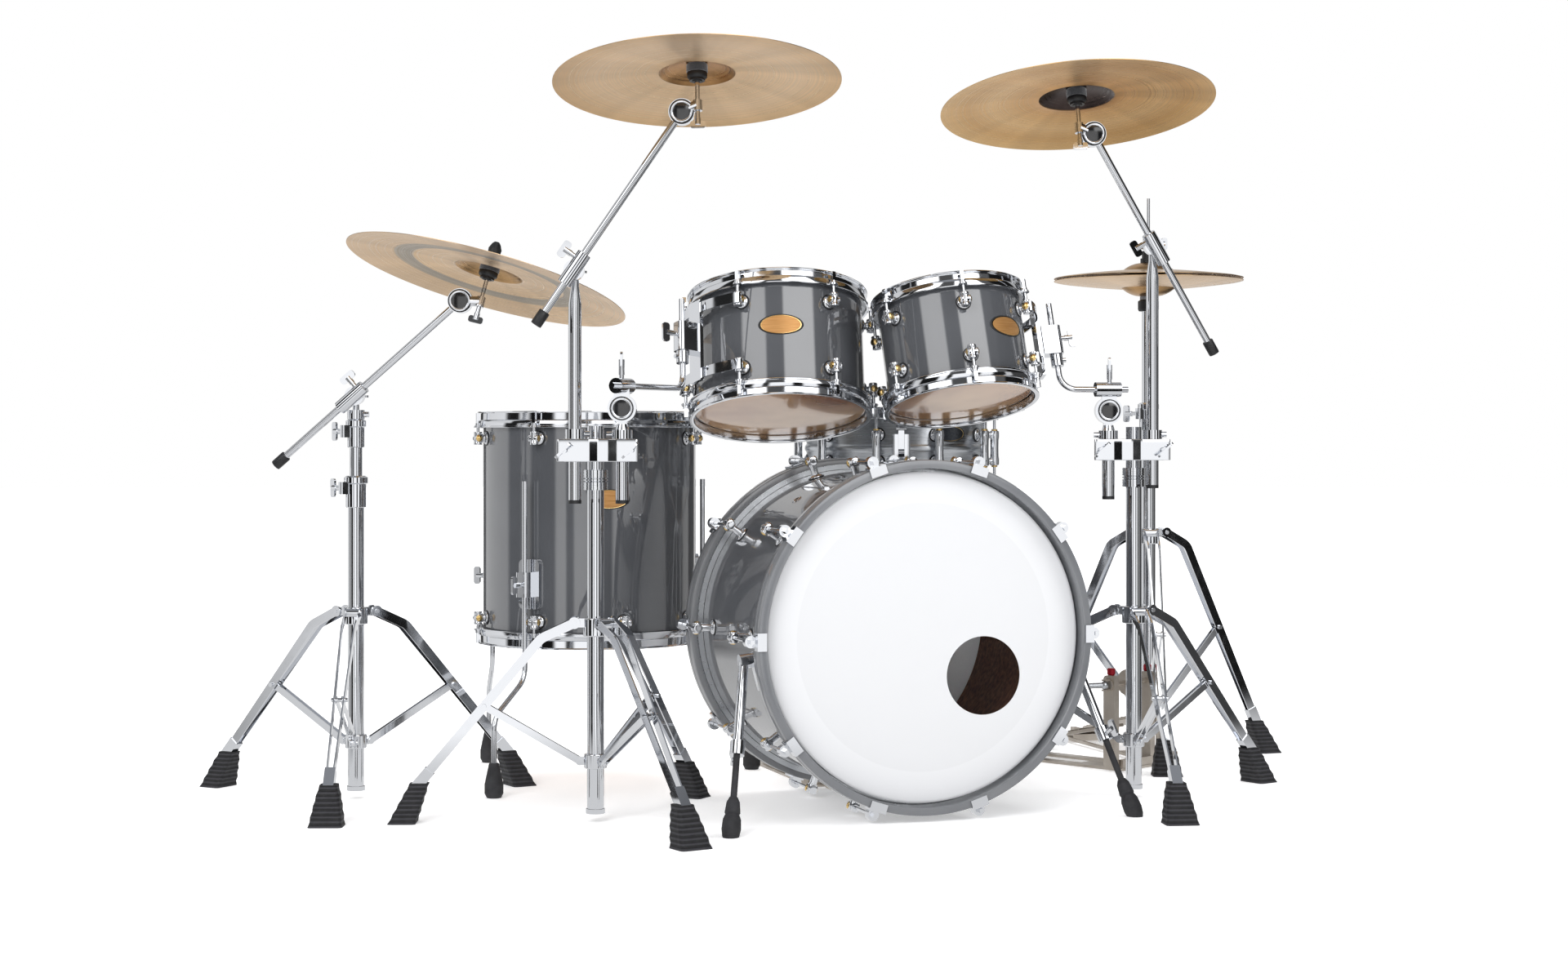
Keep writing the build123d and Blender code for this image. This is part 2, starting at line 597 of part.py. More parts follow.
def ears(stand, height, out, thick, tall):
    """Collar ears at the three leg headings, each with a hole for its pin."""
    pieces = []
    for heading in stand["legs"]:
        ear = Pos(out / 2 + 4, 0, height) * Box(out, thick, tall)
        ear += Pos(out + 4, 0, height) * Rot(90, 0, 0) * Cylinder(tall / 2, thick)
        ear -= Pos(out + 4, 0, height) * Rot(90, 0, 0) * Cylinder(PIN + RUN, 2 * thick)
        pieces.append(Rot(0, 0, heading) * ear)
    return pieces


def collar(stand, low, high, radius, height, out, thick, tall):
    """Cast collar round the column with an ear for each leg or brace."""
    body = disc(radius, low, high)
    body = fillet(body.edges(), 2)
    for ear in ears(stand, height, out, thick, tall):
        body += ear
    return body - disc(COLUMN + RUN, low - 60, high + 60)


def foot(stand):
    """Ribbed rubber foot: a flared block with pressed-in bands, under the end of a leg along +X."""
    end = leg_layout(stand)[3]
    base, levels = stand["reach"], 8
    sections = []
    for i in range(levels + 1):
        share = i / levels
        width = 30 + 28 * (1 - share) ** 0.8 - (2.4 if i % 2 else 0)
        deep = 26 + 12 * (1 - share) - (2.4 if i % 2 else 0)
        x = base - 6 + (end.X - base + 2) * share
        sections.append(Plane(origin=(x, 0, 66 * share)) * RectangleRounded(deep * 1.25, width, 7))
    return loft(sections, ruled=True) - socket(stand)


def socket(stand):
    """Space the leg's shoe takes in its rubber foot."""
    knee, end = leg_layout(stand)[1], leg_layout(stand)[3]
    slope = degrees(atan2(knee.Y - end.Y, end.X - knee.X))
    length, width, height = SHOE
    block = Box(length + 2 * RUN, width + 2 * RUN, height + 2 * RUN)
    return Pos(end.X, 0, end.Y) * Rot(0, slope, 0) * Pos(-12, 0, 0) * block


def at_stand(stand, pieces):
    x, y = stand["place"]
    return [Pos(x, y, 0) * piece for piece in pieces]


def leg_cage(stand):
    """The two collars on a column, with three legs and three braces."""
    high = stand["top"]
    upper = collar(stand, high - 23, high + 8, COLUMN + 7, high, LEG_PIVOT_RADIUS - 4, 23, 15)
    lower_height = sum(LOWER_COLLAR) / 2
    lower = collar(stand, *LOWER_COLLAR, COLUMN + 5, lower_height, COLUMN + 8, 6.4, 14)
    pieces = [upper, lower]
    for heading in stand["legs"]:
        pieces += [Rot(0, 0, heading) * leg(stand), Rot(0, 0, heading) * brace(stand)]
    return pieces


def tripod(stand, column_high, column_low=22.0):
    """Column tube with a plug in its lower end, on its legs."""
    column = ring(COLUMN, COLUMN - TUBE_WALL, column_low, column_high)
    return [column, disc(COLUMN + 2, column_low - 8, column_low)] + leg_cage(stand)


def feet(stand):
    return [Rot(0, 0, heading) * foot(stand) for heading in stand["legs"]]


def tube_clamp(low, high, radius, bore, step):
    """Height clamp on a tube's end: a sleeve, a flange, and a wing bolt through its two ears."""
    sleeve = spin((0, low), (radius - 1, low), (radius, low + 1), (radius, high - 15),
                  (radius + 3, high - 13), (radius + 3, high - 3), (radius, high - 1),
                  (radius - 1, high), (0, high))
    lugs = Pos(radius + 6, 0, high - 22) * Box(18, 13, 22)
    bolt = rod((radius + 9, 0, high - 22), (radius + 9, -22, high - 22), 4)
    thumb = Plane(origin=(radius + 9, -20, high - 22), x_dir=(0, 0, 1), z_dir=(0, -1, 0)).location
    body = sleeve + fillet(lugs.edges().filter_by(Axis.Z), 4)
    return body + bolt + thumb * wing(34, 15, 4, 5) - disc(bore + RUN, low - 1, high + 1) - step


def ride_stand_base():
    """Tripod of the ride stand with its middle tube and the two height clamps."""
    pieces = tripod(RIDE_STAND, 560)
    lower_bore = disc(COLUMN + RUN, 520, 560 + RUN)
    pieces.append(Rot(0, 0, -160) * tube_clamp(523, 580, COLUMN + 4, MID_TUBE, lower_bore))
    pieces.append(ring(MID_TUBE, THIN_POLE + RUN, 400, 660))
    upper_bore = disc(MID_TUBE + RUN, 630, 660 + RUN)
    pieces.append(Rot(0, 0, -160) * tube_clamp(631, 682, MID_TUBE + 4, THIN_POLE, upper_bore))
    return at_stand(RIDE_STAND, pieces)


def clamp_bar(stand, pole_place, post_place):
    """Cast bar on the column that grips a cymbal pole and a tom post, with its wing bolts."""
    pole, post = Vector(*pole_place), Vector(*post_place)
    middle = (pole + post) / 2
    plan = Pos(*pole_place) * Circle(21) + Pos(*post_place) * Circle(21)
    plan += Pos(middle.X, middle.Y) * Rectangle(abs(pole.X - post.X), 30)
    plan += Circle(23) + Pos(0, middle.Y / 2) * Rectangle(34, abs(middle.Y))
    bar = Pos(0, 0, CLAMP_LOW) * extrude(plan, CLAMP_HIGH - CLAMP_LOW)
    bar = chamfer(bar.edges().group_by(Axis.Z)[-1] + bar.edges().group_by(Axis.Z)[0], 1.5)
    for place, bore in ((pole_place, POLE), (post_place, POST_RADIUS)):
        side = 1 if place[0] > 0 else -1
        bar -= Pos(*place, CLAMP_LOW - 1) * Cylinder(bore + RUN, 60, align=LOW)
        bar -= Pos(place[0] + side * 16, place[1], 627) * Box(14, 2, 60)
        height = (CLAMP_LOW + CLAMP_HIGH) / 2
        slot = place[0] + side * 16
        bolt = rod((slot, place[1] - 12, height), (slot, place[1] - 34, height), 4)
        thumb = Plane(origin=(slot, place[1] - 31, height), x_dir=(1, 0, 1), z_dir=(0, -1, 0))
        bar += bolt + thumb.location * wing(36, 15, 4, 5)
    bar -= disc(COLUMN + RUN, CLAMP_LOW - 1, CLAMP_HIGH + 1)
    return Rot(0, 0, -TURN) * bar


def column_top(stand):
    """Ribbed memory lock below the clamp bar and the plug that closes the column."""
    lock = spin((COLUMN + RUN, 560), (COLUMN + 6, 560), (COLUMN + 6, 572), (COLUMN + 3, 574),
                (COLUMN + 3, 580), (COLUMN + 6, 582), (COLUMN + 6, 594), (COLUMN + RUN, 594))
    cap = disc(COLUMN, 662, 668)
    return [lock, cap]


def multi_stand_base(stand, pole_place, post_place):
    pieces = tripod(stand, 662) + column_top(stand)
    pieces.append(clamp_bar(stand, pole_place, post_place))
    return at_stand(stand, pieces)


def pole(pivot, low, radius, collar_height, taper=40.0):
    """Cymbal pole: tube, tapered top and the hub that carries the boom clamp."""
    top = pivot.Z - 16
    tube_body = spin((0, low + 6), (radius, low + 6), (radius, top - taper), (radius * 0.6, top - 10),
                     (radius * 0.6, top + 6), (0, top + 6))
    hub = Plane(origin=pivot - AWAY * 7, z_dir=AWAY).location * Cylinder(15, 18, align=LOW)
    upright = Pos(pivot.X, pivot.Y, 0) * tube_body + hub
    bore = Plane(origin=pivot - AWAY * 20, z_dir=AWAY).location * Cylinder(PIN + RUN, 60, align=LOW)
    cap = Pos(pivot.X, pivot.Y, low) * Cylinder(radius, 6, align=LOW)
    lock = Pos(pivot.X, pivot.Y, 0) * ring(radius + 6, radius + RUN, collar_height, collar_height + 16)
    lock += rod(pivot + RIGHTWARD * (radius + 4) - UP * (pivot.Z - collar_height - 8),
                pivot + RIGHTWARD * (radius + 14) - UP * (pivot.Z - collar_height - 8), 5)
    return [upright - bore, cap, lock]


def tom_post(place, collar_height):
    """Upright post with its memory lock, and the toothed half of the tilter on top."""
    top = TILTER_HEIGHT - TILTER_RADIUS - 2
    post = spin((0, POST_BOTTOM + 6), (POST_RADIUS, POST_BOTTOM + 6), (POST_RADIUS, top - 8), (9, top),
                (0, top))
    body = Pos(place.X, place.Y, 0) * post
    hub_start = Vector(place.X, place.Y, TILTER_HEIGHT) + AWAY * SEAT
    body += Plane(origin=hub_start, z_dir=AWAY).location * disc(TILTER_RADIUS, 0, HUB_THICK)
    neck_start = Vector(place.X, place.Y, top - 8) + AWAY * (SEAT + HUB_THICK / 2)
    body += Plane(origin=neck_start, x_dir=RIGHTWARD, z_dir=UP).location * Box(16, HUB_THICK, 26, align=LOW)
    bore = Plane(origin=hub_start - AWAY * 30, z_dir=AWAY).location * disc(PIN + RUN, 0, 60)
    cap = Pos(place.X, place.Y, POST_BOTTOM) * Cylinder(POST_RADIUS, 6, align=LOW)
    lock = ring(POST_RADIUS + 6, POST_RADIUS + RUN, collar_height, collar_height + 15)
    screw = rod((-POST_RADIUS - 4, 0, collar_height + 7), (-POST_RADIUS - 15, 0, collar_height + 7), 5)
    lock += Rot(0, 0, -TURN) * screw
    return [body - bore, cap, Pos(place.X, place.Y, 0) * lock]


# ---------------------------------------------------------------------------------------------
# Tom mounts
# ---------------------------------------------------------------------------------------------


def l_rod_route(plane, angle, radius, post):
    """Top, corner and socket end of an L-rod whose long leg runs along the drum's axis."""
    start = plane.from_local_coords(polar(radius + MOUNT_OFFSET, angle, 74))
    axis = plane.z_dir
    corner = start - axis * ((start.Z - L_ROD_HEIGHT) / axis.Z)
    socket_end = Vector(post.X, post.Y, L_ROD_HEIGHT) - AWAY * BARREL_FORWARD
    return start, corner, socket_end + (socket_end - corner).normalized() * 34


def tom_bracket(drum, angle):
    """Suspension bracket: two curved straps that join the neighbouring lugs, and the rod's clamp."""
    r, lug_height = drum["radius"], drum["depth"] / 2 - drum["inset"]
    near = r + ROD_OFFSET + LUG_BARREL + SEAT
    reach = near * sin(radians(180 / drum["lugs"])) + LUG_BARREL
    sector = Pos(near, 0, 0) * Box(near, 2 * reach, 400)
    strap = ring(near + 3, near, lug_height - 9, lug_height + 9) & sector
    body = strap + mirror(strap, Plane.XY)
    body += Pos(near + 1.5, 0, 0) * Box(7, 34, 2 * lug_height + 26)
    outer = r + MOUNT_OFFSET + 13
    clamp = Pos((near + outer) / 2, 0, 4) * Box(outer - near, 28, 52)
    body += fillet(clamp.edges().filter_by(Axis.Z), 9)
    bolt = rod((r + MOUNT_OFFSET + 8, 0, 8), (r + MOUNT_OFFSET + 22, 0, 8), 4)
    thumb = Plane(origin=(r + MOUNT_OFFSET + 20, 0, 8), x_dir=(0, 0, 1), z_dir=(1, 0, 0)).location
    body += bolt + thumb * wing(34, 14, 4, 5)
    body -= Pos(r + MOUNT_OFFSET, 0, 0) * Cylinder(L_ROD + RUN, 200)
    lock = ring(11, L_ROD + RUN, -44, -22.3)
    lock += rod((8, 0, -33), (16, 0, -33), 4) - disc(L_ROD + RUN, -60, 0)
    return [Rot(0, 0, angle) * piece for piece in (body, Pos(r + MOUNT_OFFSET, 0, 0) * lock)]


def tom_mount(drum, plane, angle, post):
    """Bracket on the drum, the L-rod, and the front half of the tilter that holds the rod."""
    start, corner, end = l_rod_route(plane, angle, drum["radius"], post)
    l_rod = bent_rod([start, corner, end], 30, L_ROD)
    hub_start = Vector(post.X, post.Y, TILTER_HEIGHT)
    front = Plane(origin=hub_start, z_dir=AWAY * -1).location
    holder = front * (disc(TILTER_RADIUS, 0, 12) + disc(TILTER_RADIUS - 4, 12, 16))
    holder += front * Pos(0, 0, -38) * disc(PIN, 0, 40)
    holder += front * Pos(0, 0, -38) * disc(9, 0, 38 - HUB_THICK - 2 * SEAT)
    along = (end - corner).normalized()
    middle = end - along * 34
    barrel = rod(middle - along * 26, middle + along * 20, 13)
    neck = Plane(origin=hub_start + UP * 20 - AWAY * 8, x_dir=RIGHTWARD, z_dir=UP).location * Box(26, 15, 24)
    screw = rod(middle + UP * 10, middle + UP * 20, 4)
    thumb = Plane(origin=middle + UP * 18, x_dir=AWAY, z_dir=UP).location
    holder += barrel + neck + screw + thumb * wing(14, 26, 4, 5)
    holder -= rod(corner + along * 30, end + along * 10, L_ROD + RUN)
    return placed(plane, tom_bracket(drum, angle)) + [l_rod, holder]


# ---------------------------------------------------------------------------------------------
# Booms and cymbals
# ---------------------------------------------------------------------------------------------


def boom_line(boom):
    end, tilter = Vector(*boom["end"]), Vector(*boom["tilter"])
    return end, tilter, (tilter - end).normalized()


def boom_clamp(boom, pivot):
    """Ratchet disc on the pole's hub, with the sleeve that the boom slides through."""
    end, tilter, along = boom_line(boom)
    middle = end + along * (pivot - end).dot(along)
    face = Plane(origin=pivot - AWAY * (7 + SEAT), z_dir=AWAY * -1).location
    body = face * disc(17, 0, (middle - pivot).dot(AWAY * -1) - 9)
    body += rod(middle - along * 30, middle + along * 30, 12)
    body += face * Pos(0, 0, -26 - SEAT) * disc(PIN, 0, 30)
    nut = face * Pos(0, 0, -19 - 2 * SEAT) * Rot(180, 0, 0) * wing(36, 15, 4, 6)
    body += nut
    across = along.cross(AWAY).normalized()
    screw = middle + along * 18
    body += rod(screw, screw + across * 20, 4)
    body += Plane(origin=screw + across * 18, x_dir=along, z_dir=across).location * wing(30, 14, 4, 5)
    body -= rod(end - along * 200, tilter + along * 200, BOOM_RADIUS + RUN)
    return [body]


def boom_arm(boom):
    """Boom tube with its rubber end, the cymbal tilter, its rod, seat cup, felts and wing nut."""
    end, tilter, along = boom_line(boom)
    axis = Vector(*boom["axis"]).normalized()
    seat = cymbal_seat(boom)
    root = seat - axis * 74
    bar = rod(end + along * 8, tilter - along * 14, BOOM_RADIUS)
    cap = rod(end, end + along * 26, BOOM_RADIUS + 3) - bar
    face = Plane(origin=tilter - AWAY * -13, z_dir=AWAY * -1).location
    body = face * (disc(DISC_RADIUS, 0, 20) + disc(DISC_RADIUS - 4, 20, 24))
    body += rod(tilter, root, 9) + rod(root - axis * 10, root + axis * 8, 8)
    drop = root - axis * 8
    body += rod(drop, drop - axis * 18, 4)
    body += Plane(origin=drop - axis * 14, x_dir=RIGHTWARD, z_dir=axis * -1).location * wing(26, 12, 4, 5)
    body += rod(root, seat + axis * 34, CYMBAL_ROD)
    body -= bar
    frame = Plane(origin=seat, x_dir=axis.cross(AWAY).normalized(), z_dir=axis).location
    bore = CYMBAL_ROD + RUN
    cup = spin((bore, -32), (13, -32), (13, -24), (12, -22), (12, -CUP_SHELF), (bore, -CUP_SHELF))
    felt = dome(12.5, -FELT_TOP, CUP_SHELF - FELT_TOP, bore)
    upper = mirror(dome(12.5, -FELT_TOP, 9, bore), Plane.XY)
    nut = spin((bore, 9.7), (9, 9.7), (11, 13), (12, 24), (8, 33), (4.6, 37), (bore, 37))
    return [bar, cap, body] + [frame * piece for piece in (cup, felt, upper, nut)]


def dome(radius, top, thick, bore):
    """Felt washer whose seat is domed, so that the cymbal can rock on it."""
    ball = Pos(0, 0, top - FELT_BALL) * Sphere(FELT_BALL)
    body = disc(radius, top - thick, top) & ball
    return body - disc(bore, top - thick - 1, top + 1)


def cymbal_body(radius, bow, bell_radius, bell_rise, sheet, hole):
    """Cymbal turned about Z: rim at Z = 0 below, bow and bell in smooth curves, hole on top."""
    top = bow + bell_rise
    under = [(radius, 0), (radius * 0.6, bow * 0.62), (bell_radius + 4, bow)]
    upper = [(radius, sheet * 0.55), (radius * 0.6, bow * 0.62 + sheet), (bell_radius + 3, bow + sheet)]
    with BuildSketch(Plane.XZ) as section:
        with BuildLine():
            bow_low = Spline(*under)
            bell_low = Spline(under[-1], (bell_radius * 0.72, bow + bell_rise * 0.66), (hole, top - sheet),
                              tangents=((-0.9, 0.35), (-1, 0)))
            Line((hole, top - sheet), (hole, top))
            bell_high = Spline((hole, top), (bell_radius * 0.72, bow + bell_rise * 0.66 + sheet), upper[-1],
                               tangents=((1, 0), (0.9, -0.35)))
            bow_high = Spline(*reversed(upper))
            Line(upper[0], under[0])
        make_face()
    return revolve(section.sketch, Axis.Z)


def cymbal(boom):
    plane = Plane(origin=boom["rim"], x_dir=Vector(*boom["axis"]).cross(AWAY), z_dir=boom["axis"])
    body = cymbal_body(boom["radius"], CYMBAL_BOW, boom["bell"], BELL_RISE, CYMBAL_SHEET, CYMBAL_HOLE)
    return placed(plane, [body])


# ---------------------------------------------------------------------------------------------
# Snare stand and hi-hat
# ---------------------------------------------------------------------------------------------

def snare_stand():
    """Small tripod, and a basket of three arms whose rubber hooks hold the snare's lower hoop."""
    pieces = tripod(SNARE_STAND, 420)
    pieces.append(ring(MID_TUBE, MID_TUBE - TUBE_WALL, 300, BASKET_HUB - 20))
    bore = disc(COLUMN + RUN, 380, 420 + RUN)
    pieces.append(Rot(0, 0, 180) * tube_clamp(392, 440, COLUMN + 4, MID_TUBE, bore))
    hub = fillet(disc(26, BASKET_HUB - 20, BASKET_HUB + 10).edges(), 3)
    reach = SNARE["radius"] + 13 + 7
    for heading in BASKET_ARMS:
        route = [(24, 0, BASKET_HUB - 6), (reach - 26, 0, SNARE_LOW - 14), (reach + 1, 0, SNARE_LOW - 14),
                 (reach + 1, 0, SNARE_LOW + 12)]
        arm = bent_rod(route, 9, 5)
        hub -= Rot(0, 0, heading) * bent_rod(route, 9, 5 + RUN)
        grip = Pos(reach - 3.4, 0, SNARE_LOW - 11) * Box(24, 18, 11 - SEAT, align=LOW)
        grip += Pos(reach + 1, 0, SNARE_LOW - 11) * Cylinder(9, 26, align=LOW)
        hollow = ring(reach - 7 + SEAT, 100, SNARE_LOW - SEAT, SNARE_LOW + 60)
        pieces += [Rot(0, 0, heading) * arm, Rot(0, 0, heading) * (grip - hollow - arm)]
    return at_stand(SNARE_STAND, pieces + [hub])


def hihat_stand_base():
    """Hi-hat's tripod, column, spring housing, seat cup and the heel plate of its pedal."""
    stand = HIHAT_STAND
    bell = HIHAT_EDGE - HIHAT_GAP / 2 - HIHAT_BOW - BELL_RISE
    pieces = leg_cage(stand)
    pieces.append(ring(COLUMN, COLUMN - TUBE_WALL, HIHAT_COLUMN_LOW, 700))
    pieces.append(ring(COLUMN - TUBE_WALL - RUN, COLUMN - 2 * TUBE_WALL, 420, bell - 30))
    bore = disc(COLUMN + RUN, 600, 700 + RUN)
    pieces.append(Rot(0, 0, 200) * tube_clamp(664, 720, COLUMN + 4, COLUMN - TUBE_WALL, bore))
    bore = HIHAT_ROD + RUN
    cup = spin((bore, bell - 30), (19, bell - 30), (21, bell - 26), (21, bell - 10), (17, bell - 7),
               (17, bell - SEAT), (bore, bell - SEAT))
    pieces.append(cup)
    return at_stand(stand, pieces) + [hihat_pedal_place() * hihat_pedal_frame()]


def hihat_pedal_place():
    """Heel of the hi-hat's pedal, Y towards the toe, which lies under the column."""
    return Pos(*HIHAT_STAND["place"], 0) * Rot(0, 0, 180) * Pos(0, -BOARD_LENGTH, 0)


def hihat_pedal_frame():
    """Two rails from the heel plate to the casting that carries the column."""
    toe = BOARD_LENGTH
    frame = Pos(0, -2, 3) * Box(BOARD_WIDTH, 40, 14, align=LOW)
    for side in (-1, 1):
        frame += Pos(side * BOARD_WIDTH * 0.36, 0, 3) * Box(12, 20, HINGE_HEIGHT + 6, align=LOW)
        frame += Pos(side * 52, toe / 2, 6) * Box(8, toe + 40, 6, align=LOW)
        frame += Pos(side * 47, -12, 6) * Box(18, 18, 6, align=LOW)
        frame += Pos(side * 40, toe, 6) * Box(30, 34, 8, align=LOW)
        frame += Pos(side * 27, toe, 6) * Box(9, 26, HIHAT_COLUMN_LOW + 14, align=LOW)
        frame += Pos(side * 20, toe, HIHAT_COLUMN_LOW - 2) * Box(22, 34, 22, align=LOW)
    frame -= Pos(0, 0, HINGE_HEIGHT) * Rot(0, 90, 0) * Cylinder(9, BOARD_WIDTH * 0.5 + 2)
    frame -= Pos(0, toe, HIHAT_COLUMN_LOW) * Cylinder(COLUMN + RUN, 80, align=LOW)
    frame -= Pos(0, toe, HIHAT_COLUMN_LOW - 20) * Cylinder(COLUMN - 3, 80, align=LOW)
    return frame + Pos(0, 0, HINGE_HEIGHT) * Rot(0, 90, 0) * Cylinder(HINGE_PIN, BOARD_WIDTH * 0.8)


def hihat_footboard():
    """Footboard of the hi-hat with the link that pulls the rod."""
    return [raised(hihat_pedal_place()) * footboard(BOARD_LENGTH - 30, BOARD_WIDTH * 0.9)]


def hihat_cymbal(top):
    """One hi-hat cymbal; the lower one is turned over so that the two rims meet."""
    body = cymbal_body(HIHAT_RADIUS, HIHAT_BOW, HIHAT_BELL, BELL_RISE, CYMBAL_SHEET, CYMBAL_HOLE)
    half = HIHAT_GAP / 2
    if not top:
        body, half = mirror(body, Plane.XY), -half
    return at_stand(HIHAT_STAND, [Pos(0, 0, HIHAT_EDGE + half) * body])


def hihat_pull_rod():
    """Pull rod with the clutch that carries the top cymbal between two felts."""
    bell = HIHAT_EDGE + HIHAT_GAP / 2 + HIHAT_BOW + BELL_RISE
    bore, neck, grip = HIHAT_ROD + RUN, CYMBAL_HOLE - 4 * SEAT, CYMBAL_HOLE - SEAT
    under = bell - CYMBAL_SHEET - SEAT
    shaft = disc(HIHAT_ROD, HIHAT_COLUMN_LOW + 2, HIHAT_ROD_TOP)
    sleeve = spin((bore, under - 10), (neck, under - 10), (neck, bell + SEAT), (grip, bell + SEAT),
                  (grip, bell + 58), (bore, bell + 58))
    lower = ring(12, neck + RUN, under - 10, under)
    felt = ring(16, grip + RUN, bell + SEAT, bell + 9)
    knob = ring(13, grip + RUN, bell + 9, bell + 24)
    block = ring(11, grip + RUN, bell + 26, bell + 50)
    block += rod((9, 0, bell + 40), (26, 0, bell + 40), 4)
    face = Plane(origin=(24, 0, bell + 40), x_dir=(0, 0, 1), z_dir=(1, 0, 0)).location
    return at_stand(HIHAT_STAND, [shaft, sleeve, lower, felt, knob, block + face * wing(24, 12, 4, 5)])


# ---------------------------------------------------------------------------------------------
# Pedals
# ---------------------------------------------------------------------------------------------

def footboard(length, width):
    """Footboard from its heel hinge (origin, Y along the board): ribbed cast plate with slots."""
    neck, half, tip = width * 0.23, width / 2, width * 0.42
    outline = Polyline((-neck, 0), (neck, 0), (neck, 26), (half * 0.84, 44), (half, length * 0.5),
                       (tip, length), (-tip, length), (-half, length * 0.5), (-half * 0.84, 44),
                       (-neck, 26), close=True)
    board = extrude(make_face(outline), 6)
    board = fillet(board.edges().filter_by(Axis.Z).filter_by(lambda e: e.center().Y > 60), 6)
    for i in range(7):
        board += Pos(0, length * (0.2 + 0.11 * i), 6) * Box(width * 0.66, 4, 2.4, align=LOW)
    for side in (-1, 1):
        board -= Pos(side * width * 0.2, length * 0.92, -1) * Cylinder(6, 20, align=LOW)
    hub = Rot(0, 90, 0) * Cylinder(7, width * 0.5)
    return board + hub - Rot(0, 90, 0) * Cylinder(HINGE_PIN + RUN, width)


def raised(place):
    """A footboard's own frame at its heel hinge, its toe raised."""
    return place * Pos(0, 0, HINGE_HEIGHT) * Rot(BOARD_RISE, 0, 0)


def pedal_frame(twin):
    """Cast pedal frame: base plate, heel block with hinge pin, two posts and the cam axle's bearings.

    The frame's Y runs from heel to toe; the axle stands over the toe end of the base.
    """
    toe, back = BOARD_LENGTH + AXLE_TOE, 38.0
    length = toe + TOE_OVERHANG + back
    base = Pos(0, length / 2 - back, 0) * Box(BOARD_WIDTH + 22, length, 5, align=LOW)
    base = fillet(base.edges().filter_by(Axis.Z), 14)
    base -= Pos(0, toe * 0.42, -1) * Box(BOARD_WIDTH - 30, toe * 0.5, 10, align=LOW)
    heel = Pos(0, -6, 5) * Box(BOARD_WIDTH * 0.95, 26, 12, align=LOW)
    for side in (-1, 1):
        ear = Pos(side * (BOARD_WIDTH * 0.25 + 9), 0, 5) * Box(12, 20, HINGE_HEIGHT + 4, align=LOW)
        heel += ear
    heel -= Pos(0, 0, HINGE_HEIGHT) * Rot(0, 90, 0) * Cylinder(9, BOARD_WIDTH * 0.5 + 1)
    pin = Pos(0, 0, HINGE_HEIGHT) * Rot(0, 90, 0) * Cylinder(HINGE_PIN, BOARD_WIDTH * 0.5 + 30)
    frame = base + heel + pin
    for side in (-1, 1):
        post = Pos(side * POST_OFFSET, toe, 5) * Box(POST_THICK, 26, POST_HEIGHT - 5, align=LOW)
        across, bend = (Axis.X, 8) if twin else (Axis.Z, 4)
        frame += fillet(post.edges().filter_by(across), bend)
    frame -= Pos(0, toe, AXLE_HEIGHT) * Rot(0, 90, 0) * Cylinder(AXLE + RUN, 4 * POST_OFFSET)
    return frame + Pos(0, toe + TOE_OVERHANG - 8, 5) * Box(BOARD_WIDTH + 10, 12, 16, align=LOW)


def main_pedal_place():
    """Heel of the main pedal: its toe clamps the bass drum's rear hoop."""
    return Pos(0, HOOP_HIGH + BOARD_LENGTH + AXLE_TOE + PEDAL_GAP, 0) * Rot(0, 0, 180)


def slave_pedal_place():
    toe = Pos(*SLAVE_TOE, 0) * Rot(0, 0, SLAVE_HEADING)
    return toe * Pos(0, -BOARD_LENGTH - AXLE_TOE, 0)


def axle_place(place, offset=0.0):
    """Place on a pedal's axle, at an offset along it from the board's middle."""
    return place * Pos(offset, BOARD_LENGTH + AXLE_TOE, AXLE_HEIGHT)


def pedal_frames():
    """Main and slave frames, the hoop clamp, and the spring tensioners on their outer posts."""
    pieces = []
    knob = Pos(0, 0, POST_HEIGHT - AXLE_HEIGHT) * spin((0, 0), (6, 0), (8, 3), (8, 12), (6, 14), (0, 14))
    for place, twin in ((main_pedal_place(), False), (slave_pedal_place(), True)):
        pieces.append(place * pedal_frame(twin))
        for side in (-1, 1):
            pieces.append(axle_place(place, side * POST_OFFSET) * knob)
    under, front = BASS_HEIGHT - HOOP_OUTER - SEAT, PEDAL_GAP - TOE_OVERHANG
    jaw = Pos(0, HOOP_HIGH - 14, 0) * Box(60, 30, under, align=LOW)
    tongue = Pos(0, HOOP_HIGH + front / 2, 0) * Box(40, front, 5, align=LOW)
    return pieces + [jaw + tongue]


def axle(start, stop):
    return Pos(start, 0, 0) * Rot(0, 90, 0) * disc(AXLE, 0, stop - start)


def cam():
    return Rot(0, 90, 0) * (Cylinder(26, CAM_WIDTH) - Pos(0, 14, 0) * Cylinder(8, 20))


def joint_fork(side):
    """Fork outside a bearing post, with the ball of the drive shaft between its arms."""
    fork = disc(JOINT_BALL + 3.5, AXLE_OUT, AXLE_OUT + 4)
    for arm in (-1, 1):
        place = Pos(arm * (JOINT_BALL + SEAT + 1.5), 0, AXLE_OUT)
        fork += place * Box(3, 10, JOINT_OFFSET + 3 - AXLE_OUT, align=LOW)
    return Rot(0, side * 90, 0) * fork


def beater(x):
    """Beater on the axle: clamp hub, leaning shaft and felt head."""
    lean = radians(BEATER_LEAN)
    along, toward = Vector(0, -sin(lean), cos(lean)), Vector(0, cos(lean), sin(lean))
    hub = Vector(x, 0, 0)
    felt = hub + along * 150
    body = Pos(x, 0, 0) * Rot(0, 90, 0) * Cylinder(13, HUB_WIDTH)
    return body + rod(hub, hub + along * 175, 3.6) + rod(felt - toward * 2, felt + toward * 34, 18)


def slave_cam():
    body = axle(-AXLE_OUT - 9, AXLE_OUT + 2) + cam() + joint_fork(1)
    return [axle_place(slave_pedal_place()) * body]


